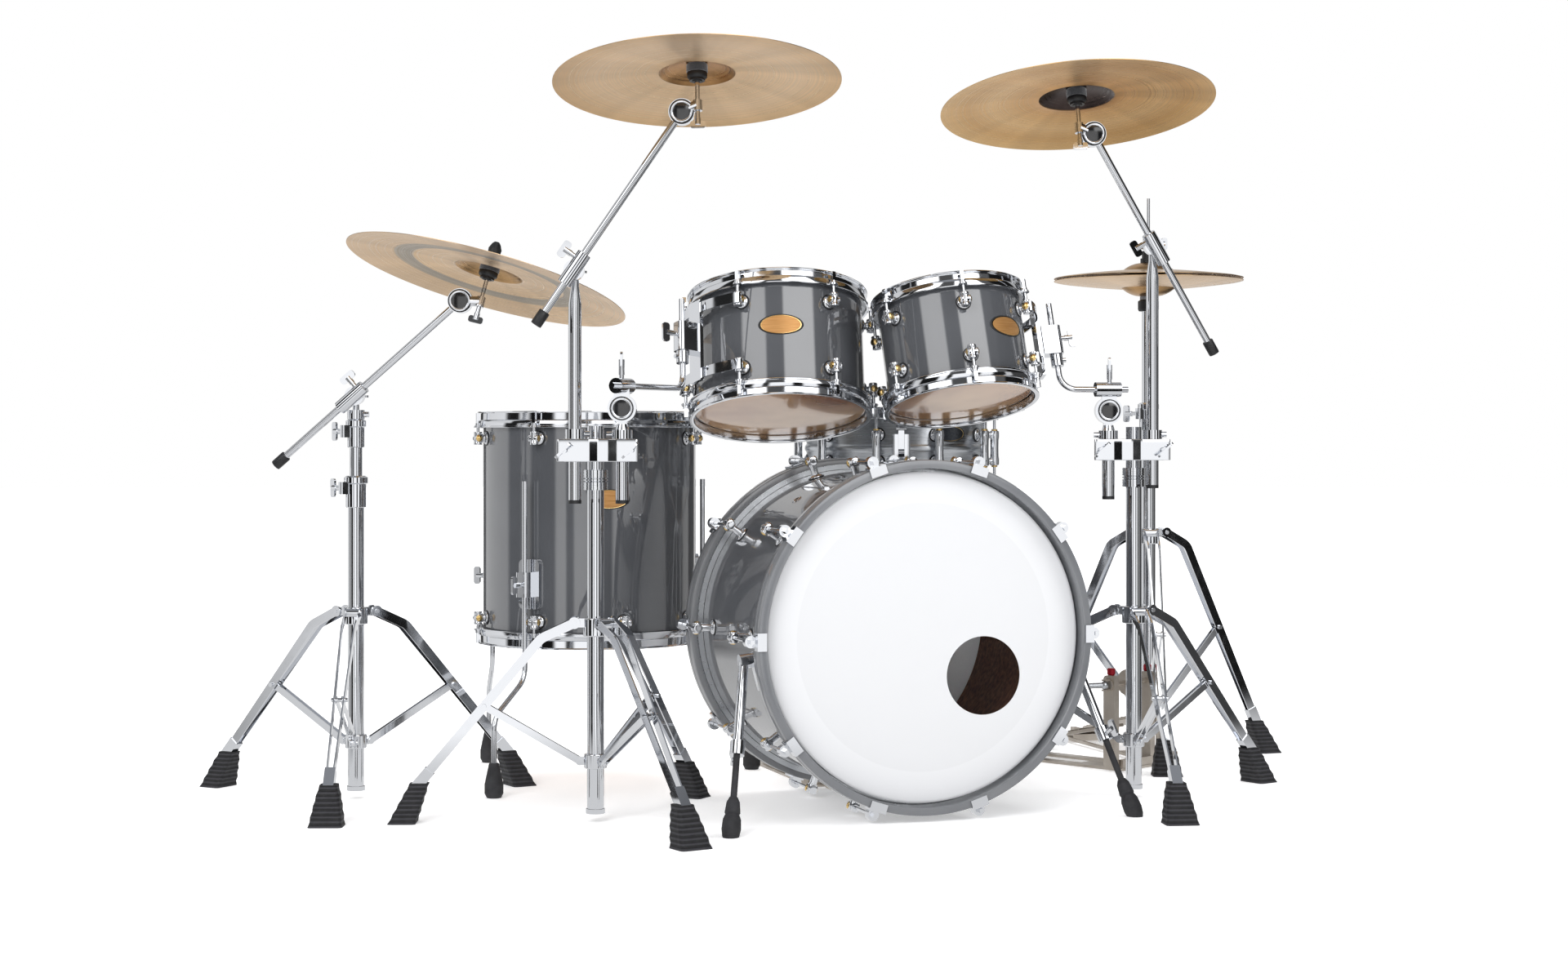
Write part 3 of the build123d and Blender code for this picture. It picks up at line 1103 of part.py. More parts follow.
def main_beater():
    """Main beater with the cam that the main footboard pulls."""
    body = axle(BEATER_GAP + SEAT, AXLE_OUT + 9) + cam() + beater(BEATER_SPREAD)
    return [axle_place(main_pedal_place()) * body]


def slave_beater():
    """Second beater on its own half of the main pedal's axle, turned by the drive shaft."""
    body = axle(-AXLE_OUT - 2, BEATER_GAP) + joint_fork(-1) + beater(-BEATER_SPREAD)
    return [axle_place(main_pedal_place()) * body]


def drive_shaft():
    """Telescoping shaft between the two axles: a bar in a tube, each with its joint's ball."""
    start = axle_place(slave_pedal_place(), JOINT_OFFSET).position
    end = axle_place(main_pedal_place(), -JOINT_OFFSET).position
    run = end - start
    bar = rod(start, start + run * 0.7, 5.5) + Pos(start) * Sphere(JOINT_BALL)
    sleeve = rod(start + run * 0.5, end, 7.5) + Pos(end) * Sphere(JOINT_BALL)
    return [bar, sleeve - rod(start, start + run * 0.72, 5.5 + RUN)]


# ---------------------------------------------------------------------------------------------
# Nodes
# ---------------------------------------------------------------------------------------------


def save(name, pieces):
    """Write one node, each piece its own solid, moved to the kit's own origin."""
    solids = [solid for piece in pieces for solid in piece.solids()]
    node = Compound(children=[Pos(-KIT_MIDDLE[0], -KIT_MIDDLE[1], 0) * solid for solid in solids])
    export_step(node, f"parts/{name}.step")


def stand_feet():
    pieces = []
    for stand in (RIDE_STAND, RIGHT_STAND, LEFT_STAND, SNARE_STAND, HIHAT_STAND):
        pieces += at_stand(stand, feet(stand))
    return pieces


def build():
    os.makedirs("parts", exist_ok=True)
    save("bass_shell", placed(BASS_PLANE, bass_shell()))
    save("bass_hoops", placed(BASS_PLANE, bass_hoops()))
    save("bass_heads", placed(BASS_PLANE, bass_front_head() + bass_batter_head()))
    save("bass_lugs", placed(BASS_PLANE, bass_lugs() + bass_claws()) + spur_brackets())
    for side, word in ((-1, "right"), (1, "left")):
        save(f"spur_{word}", spur_leg(side) + spur_rod(side))
    for name, drum, plane in (("floor_tom", FLOOR, FLOOR_PLANE), ("snare", SNARE, SNARE_PLANE),
                              ("tom12", TOM12, TOM12_PLANE), ("tom10", TOM10, TOM10_PLANE)):
        save(f"{name}_shell", placed(plane, tom_shell(drum, 180)))
        save(f"{name}_hoops", placed(plane, drum_hoops(drum)))
        save(f"{name}_heads", placed(plane, drum_heads(drum)))
        extra = floor_leg_brackets() if drum is FLOOR else []
        save(f"{name}_lugs", placed(plane, drum_lugs(drum) + extra))
    for i, (angle, turn) in enumerate(FLOOR_LEGS):
        save(f"floor_tom_leg_{i + 1}", placed(FLOOR_PLANE, floor_leg(angle, turn)))
    save("snare_strainer", placed(SNARE_PLANE, snare_strainer()))
    save("snare_lever", placed(SNARE_PLANE, strainer_lever()))
    save("snare_stand", snare_stand())
    save("ride_stand_base", ride_stand_base())
    save("right_stand_base", multi_stand_base(RIGHT_STAND, RIGHT_POLE_PLACE, RIGHT_POST_PLACE))
    save("left_stand_base", multi_stand_base(LEFT_STAND, LEFT_POLE_PLACE, LEFT_POST_PLACE))
    save("stand_feet", stand_feet())
    save("hihat_stand_base", hihat_stand_base())
    save("hihat_bottom_cymbal", hihat_cymbal(False))
    save("hihat_top_cymbal", hihat_cymbal(True))
    save("hihat_pull_rod", hihat_pull_rod())
    save("tom12_mount", tom_mount(TOM12, TOM12_PLANE, TOM12_MOUNT_ANGLE, RIGHT_POST))
    save("tom10_mount", tom_mount(TOM10, TOM10_PLANE, TOM10_MOUNT_ANGLE, LEFT_POST))
    save("tom12_post", tom_post(RIGHT_POST, CLAMP_HIGH + SEAT))
    save("tom10_post", tom_post(LEFT_POST, CLAMP_HIGH + SEAT))
    save("ride_pole", pole(RIDE_PIVOT, 480, THIN_POLE, 682 + SEAT, 14))
    save("right_pole", pole(RIGHT_PIVOT, 538, POLE, CLAMP_HIGH + SEAT))
    save("left_pole", pole(LEFT_PIVOT, 558, POLE, CLAMP_HIGH + SEAT))
    for word, boom, pivot in (("ride", RIDE, RIDE_PIVOT), ("right", RIGHT_CRASH, RIGHT_PIVOT),
                              ("left", LEFT_CRASH, LEFT_PIVOT)):
        save(f"{word}_boom_clamp", boom_clamp(boom, pivot))
        save(f"{word}_boom", boom_arm(boom))
        save(f"{word}_cymbal", cymbal(boom))
    save("pedal_frames", pedal_frames())
    save("main_beater", main_beater())
    save("slave_beater", slave_beater())
    save("slave_cam", slave_cam())
    save("drive_shaft", drive_shaft())
    for name, place in (("pedal_board", main_pedal_place()), ("slave_board", slave_pedal_place())):
        save(name, [raised(place) * footboard(BOARD_LENGTH - 26, BOARD_WIDTH)])
    save("hihat_footboard", hihat_footboard())


build()
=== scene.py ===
"""Looks of the acoustic drum kit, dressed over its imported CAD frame.

The bass drum's front head faces -Y, and right and left are the listener's.
"""

import json
from math import cos, pi, radians, sin

import bpy
from mathutils import Matrix, Vector


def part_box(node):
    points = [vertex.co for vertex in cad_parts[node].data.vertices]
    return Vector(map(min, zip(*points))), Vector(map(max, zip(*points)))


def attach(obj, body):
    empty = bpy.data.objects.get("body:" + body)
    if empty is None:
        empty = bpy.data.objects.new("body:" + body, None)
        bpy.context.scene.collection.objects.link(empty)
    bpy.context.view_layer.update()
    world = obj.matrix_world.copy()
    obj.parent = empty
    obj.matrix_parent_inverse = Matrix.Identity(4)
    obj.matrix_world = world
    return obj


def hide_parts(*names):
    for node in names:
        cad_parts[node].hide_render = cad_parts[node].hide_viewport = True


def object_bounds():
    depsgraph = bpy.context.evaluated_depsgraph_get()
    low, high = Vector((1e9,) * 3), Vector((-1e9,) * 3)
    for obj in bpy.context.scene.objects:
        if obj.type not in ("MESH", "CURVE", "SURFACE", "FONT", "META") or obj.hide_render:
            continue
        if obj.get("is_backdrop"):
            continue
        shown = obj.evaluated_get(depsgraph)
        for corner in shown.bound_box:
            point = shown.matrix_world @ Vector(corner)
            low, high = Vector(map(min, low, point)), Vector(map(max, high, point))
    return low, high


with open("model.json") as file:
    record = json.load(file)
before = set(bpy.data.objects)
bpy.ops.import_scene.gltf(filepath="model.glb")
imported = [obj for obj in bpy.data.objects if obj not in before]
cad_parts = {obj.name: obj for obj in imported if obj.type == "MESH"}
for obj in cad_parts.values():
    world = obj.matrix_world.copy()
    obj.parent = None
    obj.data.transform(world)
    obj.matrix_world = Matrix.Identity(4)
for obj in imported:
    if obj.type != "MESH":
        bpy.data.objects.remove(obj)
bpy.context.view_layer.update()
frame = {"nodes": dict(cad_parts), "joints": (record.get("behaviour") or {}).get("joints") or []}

bpy.ops.object.select_all(action="DESELECT")

# ----------------------------------------
# Camera: a long lens at hip height, turned a little to the right of the bass drum's axis.
# ----------------------------------------

VIEW_TURN = radians(18)
LISTENER = Vector((-sin(VIEW_TURN), -cos(VIEW_TURN), 0))
bpy.ops.object.camera_add(location=(-1.4547, -4.2688, 0.643), rotation=(radians(90), 0, -VIEW_TURN))
camera = bpy.context.object
camera.name = "camera"
camera.data.lens = 56.25
camera.data.sensor_width = 36.0
camera.data.shift_y = -0.0279
camera.data.clip_end = 80.0
bpy.context.scene.camera = camera

# ----------------------------------------
# Studio: a seamless white floor that keeps soft contact shadows, a white backdrop, and what the
# polished parts mirror: a wide white wall on the left, narrower panels, and dark gaps between them.
# ----------------------------------------


def colour(code):
    """Linear RGBA of an sRGB hex code."""
    parts = [int(code[i:i + 2], 16) / 255 for i in (1, 3, 5)]
    return [v / 12.92 if v <= 0.04045 else ((v + 0.055) / 1.055) ** 2.4 for v in parts] + [1.0]


def node(tree, kind, inputs=None, stops=(), **settings):
    """New node. A value in inputs is a constant, or the output that feeds that input.

    Stops are (place, colour) pairs of a colour ramp; a colour is a hex code or a grey value.
    """
    made = tree.nodes.new("ShaderNode" + kind)
    for name, value in settings.items():
        setattr(made, name, value)
    for name, value in (inputs or {}).items():
        if isinstance(value, bpy.types.NodeSocket):
            tree.links.new(value, made.inputs[name])
        else:
            made.inputs[name].default_value = value
    for place, shade in stops[2:]:
        made.color_ramp.elements.new(1.0)
    for i, (place, shade) in enumerate(stops):
        step = made.color_ramp.elements[i]
        step.position = place
        step.color = colour(shade) if isinstance(shade, str) else (shade, shade, shade, 1.0)
    return made


bpy.context.scene.view_settings.view_transform = "Standard"
bpy.context.scene.view_settings.look = "None"

WORLD_LIGHT = 0.72
world = bpy.data.worlds.new("studio")
world.use_nodes = True
bpy.context.scene.world = world
sky = world.node_tree
sky.nodes.clear()
direction = node(sky, "TexCoord").outputs["Generated"]
turned = node(sky, "Mapping", {"Vector": direction, "Rotation": (0, 0, radians(90) + VIEW_TURN)})
heading = node(sky, "TexGradient", {"Vector": turned.outputs["Vector"]},
               gradient_type="RADIAL").outputs["Fac"]
LEVEL = ((0.05, 0.85), (0.06, 0.04), (0.09, 0.04), (0.10, 0.80), (0.235, 0.95),
         (0.25, 0.015), (0.29, 0.015), (0.30, 0.80), (0.325, 0.80), (0.335, 0.01), (0.405, 0.01),
         (0.415, 1.25), (0.44, 1.25), (0.446, 0.04), (0.462, 0.04), (0.470, 1.25), (0.540, 1.25),
         (0.548, 0.01), (0.576, 0.01), (0.584, 1.2), (0.626, 1.2), (0.634, 0.01), (0.685, 0.02),
         (0.693, 0.7), (0.715, 0.7), (0.725, 0.06), (0.84, 0.06),
         (0.85, 0.55), (0.88, 0.55), (0.89, 0.04), (0.94, 0.04), (0.95, 0.85))
RAISED = ((0.0, 0.7), (0.09, 0.7), (0.10, 0.05), (0.15, 0.05), (0.16, 0.8), (0.26, 0.8),
          (0.27, 0.02), (0.34, 0.02), (0.352, 2.3), (0.44, 2.3), (0.45, 0.10), (0.515, 0.10),
          (0.525, 2.9), (0.645, 2.9), (0.655, 0.12), (0.70, 0.12), (0.71, 0.01), (0.84, 0.01),
          (0.85, 0.5), (0.89, 0.5), (0.90, 0.03), (0.94, 0.03), (0.95, 0.6), (1.0, 0.6))
level, raised = (node(sky, "ValToRGB", {"Fac": heading}, stops).outputs["Color"]
                 for stops in (LEVEL, RAISED))
rise = node(sky, "SeparateXYZ", {"Vector": direction}).outputs["Z"]
over = node(sky, "MapRange", {"Value": rise, "From Min": 0.20, "From Max": 0.26}).outputs["Result"]
walls = node(sky, "MixRGB", {"Fac": over, "Color1": level, "Color2": raised}, blend_type="MIX").outputs[0]
top = node(sky, "MapRange", {"Value": rise, "From Min": 0.80, "From Max": 0.84}).outputs["Result"]
walls = node(sky, "MixRGB", {"Fac": top, "Color1": walls, "Color2": (0.30, 0.31, 0.33, 1)},
             blend_type="MIX").outputs[0]
rays = node(sky, "LightPath").outputs
plain = node(sky, "Background", {"Color": (1, 1, 1, 1), "Strength": WORLD_LIGHT}).outputs[0]
panels = node(sky, "Background", {"Color": walls, "Strength": 1.0}).outputs[0]
white = node(sky, "Background", {"Color": (1, 1, 1, 1), "Strength": 1.0}).outputs[0]
glossy = node(sky, "MixShader", {0: rays["Is Glossy Ray"], 1: plain, 2: panels}).outputs[0]
through = node(sky, "MixShader", {0: rays["Is Transmission Ray"], 1: glossy, 2: white}).outputs[0]
shown = node(sky, "MixShader", {0: rays["Is Camera Ray"], 1: through, 2: white}).outputs[0]
node(sky, "OutputWorld", {"Surface": shown})

bpy.ops.mesh.primitive_circle_add(vertices=96, radius=30.0, fill_type="NGON", location=(0, 0, 0))
floor = bpy.context.object
floor.name = "floor"
floor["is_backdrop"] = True
floor_look = bpy.data.materials.new("studio_floor")
floor_look.use_nodes = True
tree = floor_look.node_tree
tree.nodes.clear()
rays = node(tree, "LightPath").outputs
spot = node(tree, "TexCoord").outputs["Object"]
away = node(tree, "VectorMath", {0: spot}, operation="LENGTH").outputs["Value"]
patch = node(tree, "MapRange", {"Value": away, "From Min": 1.25, "From Max": 1.85}).outputs["Result"]
far = node(tree, "MapRange", {"Value": away, "From Min": 1.3, "From Max": 5.0, "To Min": 0.34,
                              "To Max": 0.75}).outputs["Result"]
paper = node(tree, "BsdfDiffuse", {"Color": (0.86, 0.86, 0.87, 1)}).outputs[0]
glow = node(tree, "Emission", {"Color": (1, 1, 1, 1), "Strength": far}).outputs[0]
lit = node(tree, "AddShader", {0: paper, 1: glow}).outputs[0]
dim = node(tree, "Emission", {"Color": (1, 1, 1, 1), "Strength": 0.80}).outputs[0]
clear = node(tree, "BsdfTransparent").outputs[0]
mirrored = node(tree, "MixShader", {0: patch, 1: dim, 2: clear}).outputs[0]
seen = node(tree, "MixShader", {0: rays["Is Glossy Ray"], 1: lit, 2: mirrored}).outputs[0]
node(tree, "OutputMaterial", {"Surface": seen})
floor.data.materials.append(floor_look)

# Soft boxes: a large one up on the left, a smaller one on the right, and one overhead behind.
for name, place, aim, size, power in (
        ("key", (-3.4, -3.6, 3.0), (0, 0, 0.6), 2.6, 170.0),
        ("fill", (3.6, -3.0, 2.4), (0, 0, 0.6), 2.0, 75.0),
        ("top", (0.2, 1.6, 4.2), (0, 0, 0.4), 3.0, 120.0)):
    bpy.ops.object.light_add(type="AREA", location=place)
    lamp = bpy.context.object
    lamp.name = name
    lamp.data.size = size
    lamp.data.energy = power
    lamp.visible_glossy = False
    lamp.rotation_euler = (Vector(aim) - Vector(place)).to_track_quat("-Z", "Y").to_euler()

# ----------------------------------------
# Bass drum shell: a maple and mahogany ply cylinder, sprayed inside clear and outside in gloss
# grey lacquer, with one chromed vent grommet.
# ----------------------------------------

INCH = 0.0254


def look(name, base, roughness, metallic=0.0, **more):
    """New material and its Principled shader."""
    made = bpy.data.materials.new(name)
    made.use_nodes = True
    shader = made.node_tree.nodes["Principled BSDF"]
    shader.inputs["Base Color"].default_value = colour(base)
    shader.inputs["Roughness"].default_value = roughness
    shader.inputs["Metallic"].default_value = metallic
    for socket, value in more.items():
        shader.inputs[socket.replace("_", " ")].default_value = value
    return made, made.node_tree, shader


def grain(tree, scale, vector=None, detail=3.0):
    """Irregular pattern on the piece's own coordinates, with scale patches to a metre."""
    place = vector or node(tree, "TexCoord").outputs["Object"]
    return node(tree, "TexNoise", {"Vector": place, "Scale": scale, "Detail": detail}).outputs["Fac"]


def mottle(tree, shader, pattern, *stops):
    """Colour that follows a pattern."""
    shades = node(tree, "ValToRGB", {"Fac": pattern}, stops)
    tree.links.new(shades.outputs["Color"], shader.inputs["Base Color"])


def gloss(tree, shader, pattern, low, high):
    """Roughness that follows a pattern from low to high."""
    spread = node(tree, "MapRange", {"Value": pattern, "From Min": 0.3, "From Max": 0.7,
                                     "To Min": low, "To Max": high})
    tree.links.new(spread.outputs["Result"], shader.inputs["Roughness"])


def relief(tree, shader, pattern, depth, strength=1.0):
    """Fine relief that follows a pattern, its depth in metres."""
    made = node(tree, "Bump", {"Height": pattern, "Distance": depth, "Strength": strength})
    tree.links.new(made.outputs["Normal"], shader.inputs["Normal"])


# Gloss lacquer: grey with a fine metallic cloudiness under a clear coat.
LACQUER, tree, shader = look("gloss_grey_lacquer", "#4c4e52", 0.40, Coat_Weight=1.0, Coat_Roughness=0.015,
                             Coat_IOR=1.95, Specular_IOR_Level=0.15)
mottle(tree, shader, grain(tree, 5.0), (0.35, "#494b4f"), (0.65, "#505256"))
gloss(tree, shader, grain(tree, 900.0), 0.28, 0.38)
relief(tree, shader, grain(tree, 14.0), 0.0004, 0.15)

# Clear-sprayed inner ply of reddish brown veneer, its grain drawn wider than it is.
PLY, tree, shader = look("inner_ply", "#8a5a44", 0.55)
long_grain = node(tree, "Mapping", {"Vector": node(tree, "TexCoord").outputs["Object"],
                                    "Scale": (3.0, 60.0, 60.0)}).outputs["Vector"]
mottle(tree, shader, grain(tree, 2.0, long_grain, 6.0), (0.3, "#6b4333"), (0.5, "#8e5f47"),
       (0.7, "#a87a5c"))
relief(tree, shader, grain(tree, 2.0, long_grain), 0.0003, 0.3)

# Polished chrome plate: bright, with faint smears in its gloss.
CHROME, tree, shader = look("polished_chrome", "#dcdee2", 0.06, 1.0)
gloss(tree, shader, grain(tree, 38.0), 0.03, 0.10)
relief(tree, shader, grain(tree, 60.0), 0.0002, 0.02)


def drum_place(centre, axis):
    """Matrix across a drum: Z along its axis, X as near as can be to the listener."""
    up = Vector(axis).normalized()
    x = (LISTENER - up * LISTENER.dot(up)).normalized()
    turn = Matrix((x, up.cross(x), up)).transposed().to_4x4()
    return Matrix.Translation(centre) @ turn


def middle(name):
    low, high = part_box(name)
    return (low + high) / 2


def lathe(name, outline, place, steps=192, closed=True, angle=40):
    """Piece turned from an outline of (radius, height) points about the Z axis of place."""
    mesh = bpy.data.meshes.new(name)
    points = [(radius, 0, z) for radius, z in outline]
    edges = [(i, i + 1) for i in range(len(points) - 1)] + ([(len(points) - 1, 0)] if closed else [])
    mesh.from_pydata(points, edges, [])
    piece = bpy.data.objects.new(name, mesh)
    bpy.context.collection.objects.link(piece)
    bpy.ops.object.select_all(action="DESELECT")
    piece.select_set(True)
    bpy.context.view_layer.objects.active = piece
    bpy.ops.object.mode_set(mode="EDIT")
    bpy.ops.mesh.select_all(action="SELECT")
    bpy.ops.mesh.spin(steps=steps, angle=2 * pi, center=(0, 0, 0), axis=(0, 0, 1))
    bpy.ops.mesh.select_all(action="SELECT")
    bpy.ops.mesh.remove_doubles(threshold=0.00001)
    bpy.ops.mesh.normals_make_consistent(inside=False)
    bpy.ops.object.mode_set(mode="OBJECT")
    bpy.ops.object.shade_smooth_by_angle(angle=radians(angle))
    mesh.transform(place)
    return piece


def paint(piece, *looks, choose=None, place=None):
    """Gives a piece its looks. choose(face centre in the place's frame) picks the look of a face."""
    for each in looks:
        piece.data.materials.append(each)
    if choose:
        inward = (place or Matrix()).inverted()
        for face in piece.data.polygons:
            face.material_index = choose(inward @ face.center, inward.to_3x3() @ face.normal)
    return piece


def join(name, pieces):
    """One piece made of several."""
    bpy.ops.object.select_all(action="DESELECT")
    for piece in pieces:
        piece.select_set(True)
    bpy.context.view_layer.objects.active = pieces[0]
    bpy.ops.object.join()
    pieces[0].name = name
    bpy.ops.object.select_all(action="DESELECT")
    return pieces[0]


def shell_piece(name, radius, depth, wall, place, outside):
    """Shell with its bearing edges cut at 45 degrees, wooden inside."""
    half, edge = depth / 2, 0.002
    slope = wall - edge
    piece = lathe(name, [(radius - 0.0004, -half), (radius, 0.0004 - half), (radius, half - 0.0004),
                         (radius - 0.0004, half), (radius - edge, half), (radius - wall, half - slope),
                         (radius - wall, slope - half), (radius - edge, -half)], place, angle=30)
    return paint(piece, outside, PLY, place=place,
                 choose=lambda c, n: 0 if c.xy.length > radius - 0.001 else 1)


BASS_RADIUS, BASS_DEPTH = 11 * INCH, 16 * INCH
bass_place = Matrix.Translation(middle("bass_shell")) @ Matrix(((1, 0, 0, 0), (0, 0, -1, 0), (0, 1, 0, 0),
                                                                (0, 0, 0, 1)))
bass_shell = shell_piece("bass_shell_dress", BASS_RADIUS, BASS_DEPTH, 0.009, bass_place, LACQUER)
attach(bass_shell, "kit")
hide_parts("bass_shell")


def mm(*points):
    """Outline in metres from points in millimetres."""
    return [(radius * 0.001, height * 0.001) for radius, height in points]


def polar_place(place, angle, radius, height=0.0):
    """Frame on a drum's wall: Z out of the shell, X along the drum's axis."""
    turn = Matrix.Rotation(radians(angle), 4, "Z")
    return place @ turn @ Matrix.Translation((radius, 0, height)) @ Matrix.Rotation(radians(90), 4, "Y")


def grommet(name, place, angle, radius, body, metal):
    """Vent grommet: a domed ring round a black disc of painted shade where the hole into the dark shell is.
    """
    spot = polar_place(place, angle, radius)
    piece = lathe(name, mm((0, 0.2), (4.2, 0.2), (4.8, 1.2), (6.2, 1.8), (8.2, 1.4), (9.5, 0), (9.5, -1),
                           (0, -1)), spot, steps=32)
    # Painted shade: within this radius a black disc stands for the vent hole and the dark inside of the
    # drum.
    painted_hole_radius = 0.0045
    paint(piece, metal, BLACK_PLASTIC, place=spot,
          choose=lambda c, n: 1 if c.xy.length < painted_hole_radius else 0)
    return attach(piece, body)


# Black moulded plastic with a fine satin grain.
BLACK_PLASTIC, tree, shader = look("black_nylon", "#17181a", 0.42)
gloss(tree, shader, grain(tree, 120.0), 0.36, 0.50)
relief(tree, shader, grain(tree, 1400.0), 0.0001, 0.4)

grommet("bass_vent", bass_place, 125, BASS_RADIUS, "kit", CHROME)

# ----------------------------------------
# Bass drum hoops: bent maple hoops in satin grey lacquer, with a shallow turned groove.
# ----------------------------------------

# Satin lacquer on bent maple: mid grey with a soft sheen, a little uneven from brushing.
HOOP_LACQUER, tree, shader = look("satin_grey_hoop", "#66686c", 0.34, Coat_Weight=0.9, Coat_Roughness=0.10)
mottle(tree, shader, grain(tree, 7.0), (0.35, "#606266"), (0.65, "#6c6e71"))
relief(tree, shader, grain(tree, 220.0), 0.0003, 0.12)

HOOP_WIDTH, HOOP_THICK, HOOP_RISE = 0.038, 0.015, 0.0218
hoop_inner = BASS_RADIUS + 0.0056
hoop_outer = hoop_inner + HOOP_THICK
bass_hoops = []
for side in (1, -1):
    high = BASS_DEPTH / 2 + HOOP_RISE
    low, mid, r, groove = high - HOOP_WIDTH, high - HOOP_WIDTH / 2, 0.003, 0.0008
    outline = [(hoop_inner, low), (hoop_outer - r, low), (hoop_outer - 0.3 * r, low + 0.3 * r),
               (hoop_outer, low + r), (hoop_outer, mid - 0.0055), (hoop_outer - groove, mid - 0.0045),
               (hoop_outer - groove, mid + 0.0045), (hoop_outer, mid + 0.0055), (hoop_outer, high - r),
               (hoop_outer - 0.3 * r, high - 0.3 * r), (hoop_outer - r, high), (hoop_inner + 0.001, high),
               (hoop_inner, high - 0.001)]
    outline = [(radius, z * side) for radius, z in outline]
    bass_hoops.append(lathe("hoop", outline, bass_place, 224, angle=35))
bass_hoops = paint(join("bass_hoops_dress", bass_hoops), HOOP_LACQUER)
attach(bass_hoops, "kit")
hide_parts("bass_hoops")

# ----------------------------------------
# Bass drum heads: a smooth white front film with a brighter damping ring at its rim and a round
# port, and a coated white batter film behind, both crimped in aluminium flesh hoops.
# ----------------------------------------

# Polyester film: smooth satin white, a shade brighter in the ring that damps its rim.
FRONT_FILM, tree, shader = look("white_front_film", "#eceef1", 0.30, Coat_Weight=0.25, Coat_Roughness=0.25)
from_middle = node(tree, "VectorMath", {0: node(tree, "TexCoord").outputs["Object"],
                                        1: tuple(bass_place.translation)}, operation="SUBTRACT")
flat = node(tree, "VectorMath", {0: from_middle.outputs[0], 1: (1, 0, 1)}, operation="MULTIPLY")
radius_of = node(tree, "VectorMath", {0: flat.outputs[0]}, operation="LENGTH").outputs["Value"]
zone = node(tree, "MapRange", {"Value": radius_of, "From Min": 0.2, "From Max": 0.3}).outputs["Result"]
mottle(tree, shader, zone, (0.0, "#cacbcd"), (0.27, "#cacbcd"), (0.285, "#cecfd1"), (1.0, "#c9cacd"))
relief(tree, shader, grain(tree, 600.0), 0.0001, 0.2)

# Sprayed coating on film: matt white with fine specks, drawn coarser than the spray leaves them.
COATED, tree, shader = look("coated_white_film", "#eef0f1", 0.72, Transmission_Weight=0.4)
speck = node(tree, "TexVoronoi", {"Vector": node(tree, "TexCoord").outputs["Object"], "Scale": 420.0})
mottle(tree, shader, speck.outputs["Distance"], (0.0, "#e4e6e8"), (0.4, "#f2f3f4"))
relief(tree, shader, speck.outputs["Distance"], 0.0002, 0.5)

# Drawn aluminium: pale grey and softly bright.
ALUMINIUM, tree, shader = look("flesh_hoop_aluminium", "#c5c8cc", 0.30, 1.0)
gloss(tree, shader, grain(tree, 90.0), 0.24, 0.38)


def head_piece(name, radius, depth, skirt, flesh, thick, place, side, film, port=None):
    """Film drawn over the bearing edge by its flesh hoop; side is 1 for the upper head."""
    edge, inside = depth / 2, radius + 0.0005
    low = edge - skirt
    outline = [(0.0, edge + 0.0006), (radius * 0.5, edge + 0.0006), (radius - 0.004, edge + 0.0006),
               (radius - 0.001, edge + 0.0004), (inside + 0.0006, edge - 0.001),
               (inside + 0.0006, low), (flesh - 0.0006, low), (flesh, low - 0.0006), (flesh, low - thick),
               (inside, low - thick), (inside, edge - 0.001), (radius - 0.003, edge), (0.0, edge)]
    piece = lathe(name, [(r, z * side) for r, z in outline], place, angle=50)
    if port:
        bpy.ops.mesh.primitive_cylinder_add(vertices=96, radius=port[2], depth=0.06)
        cutter = bpy.context.object
        cutter.data.transform(place @ Matrix.Translation((port[0], port[1], edge * side)))
        cut = piece.modifiers.new("port", "BOOLEAN")
        cut.object, cut.operation, cut.solver = cutter, "DIFFERENCE", "EXACT"
        bpy.context.view_layer.objects.active = piece
        bpy.ops.object.modifier_apply(modifier=cut.name)
        bpy.data.objects.remove(cutter)
    return paint(piece, film, ALUMINIUM, place=place,
                 choose=lambda c, n: 1 if c.xy.length > radius + 0.0015 else 0)


skirt, flesh, thick = HOOP_WIDTH - HOOP_RISE, BASS_RADIUS + 0.0098, 0.009
PORT = (0.107, -0.068, 0.067)       # across, down and radius
front = head_piece("bass_front_head", BASS_RADIUS, BASS_DEPTH, skirt, flesh, thick, bass_place, 1,
                   FRONT_FILM, PORT)
batter = head_piece("bass_batter_head", BASS_RADIUS, BASS_DEPTH, skirt, flesh, thick, bass_place, -1,
                    COATED)
for piece in (front, batter):
    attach(piece, "kit")
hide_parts("bass_heads")

# ----------------------------------------
# Bass drum claws, lugs and spurs: chromed die castings. A lug is a foot on a black gasket, a waisted
# post, and a sleeve with a cross barrel whose end caps are gold plated. The telescopic spurs end in
# rubber tips.
# ----------------------------------------

# Gold plate on polished brass: warm and nearly mirror bright.
GOLD, tree, shader = look("gold_plate", "#e6c684", 0.16, 1.0)
mottle(tree, shader, grain(tree, 40.0), (0.3, "#dcb872"), (0.7, "#eed298"))
gloss(tree, shader, grain(tree, 80.0), 0.10, 0.22)

# Moulded rubber: near black and matt, a little dusty.
RUBBER, tree, shader = look("black_rubber", "#242427", 0.72)
gloss(tree, shader, grain(tree, 60.0), 0.62, 0.82)
mottle(tree, shader, grain(tree, 25.0), (0.3, "#1e1e20"), (0.7, "#2d2d30"))
relief(tree, shader, grain(tree, 900.0), 0.0002, 0.3)

# Turned steel: grey with a satin brightness.
STEEL, tree, shader = look("brushed_steel", "#b9bcc0", 0.28, 1.0)
gloss(tree, shader, grain(tree, 150.0), 0.22, 0.38)
relief(tree, shader, grain(tree, 400.0), 0.0001, 0.2)


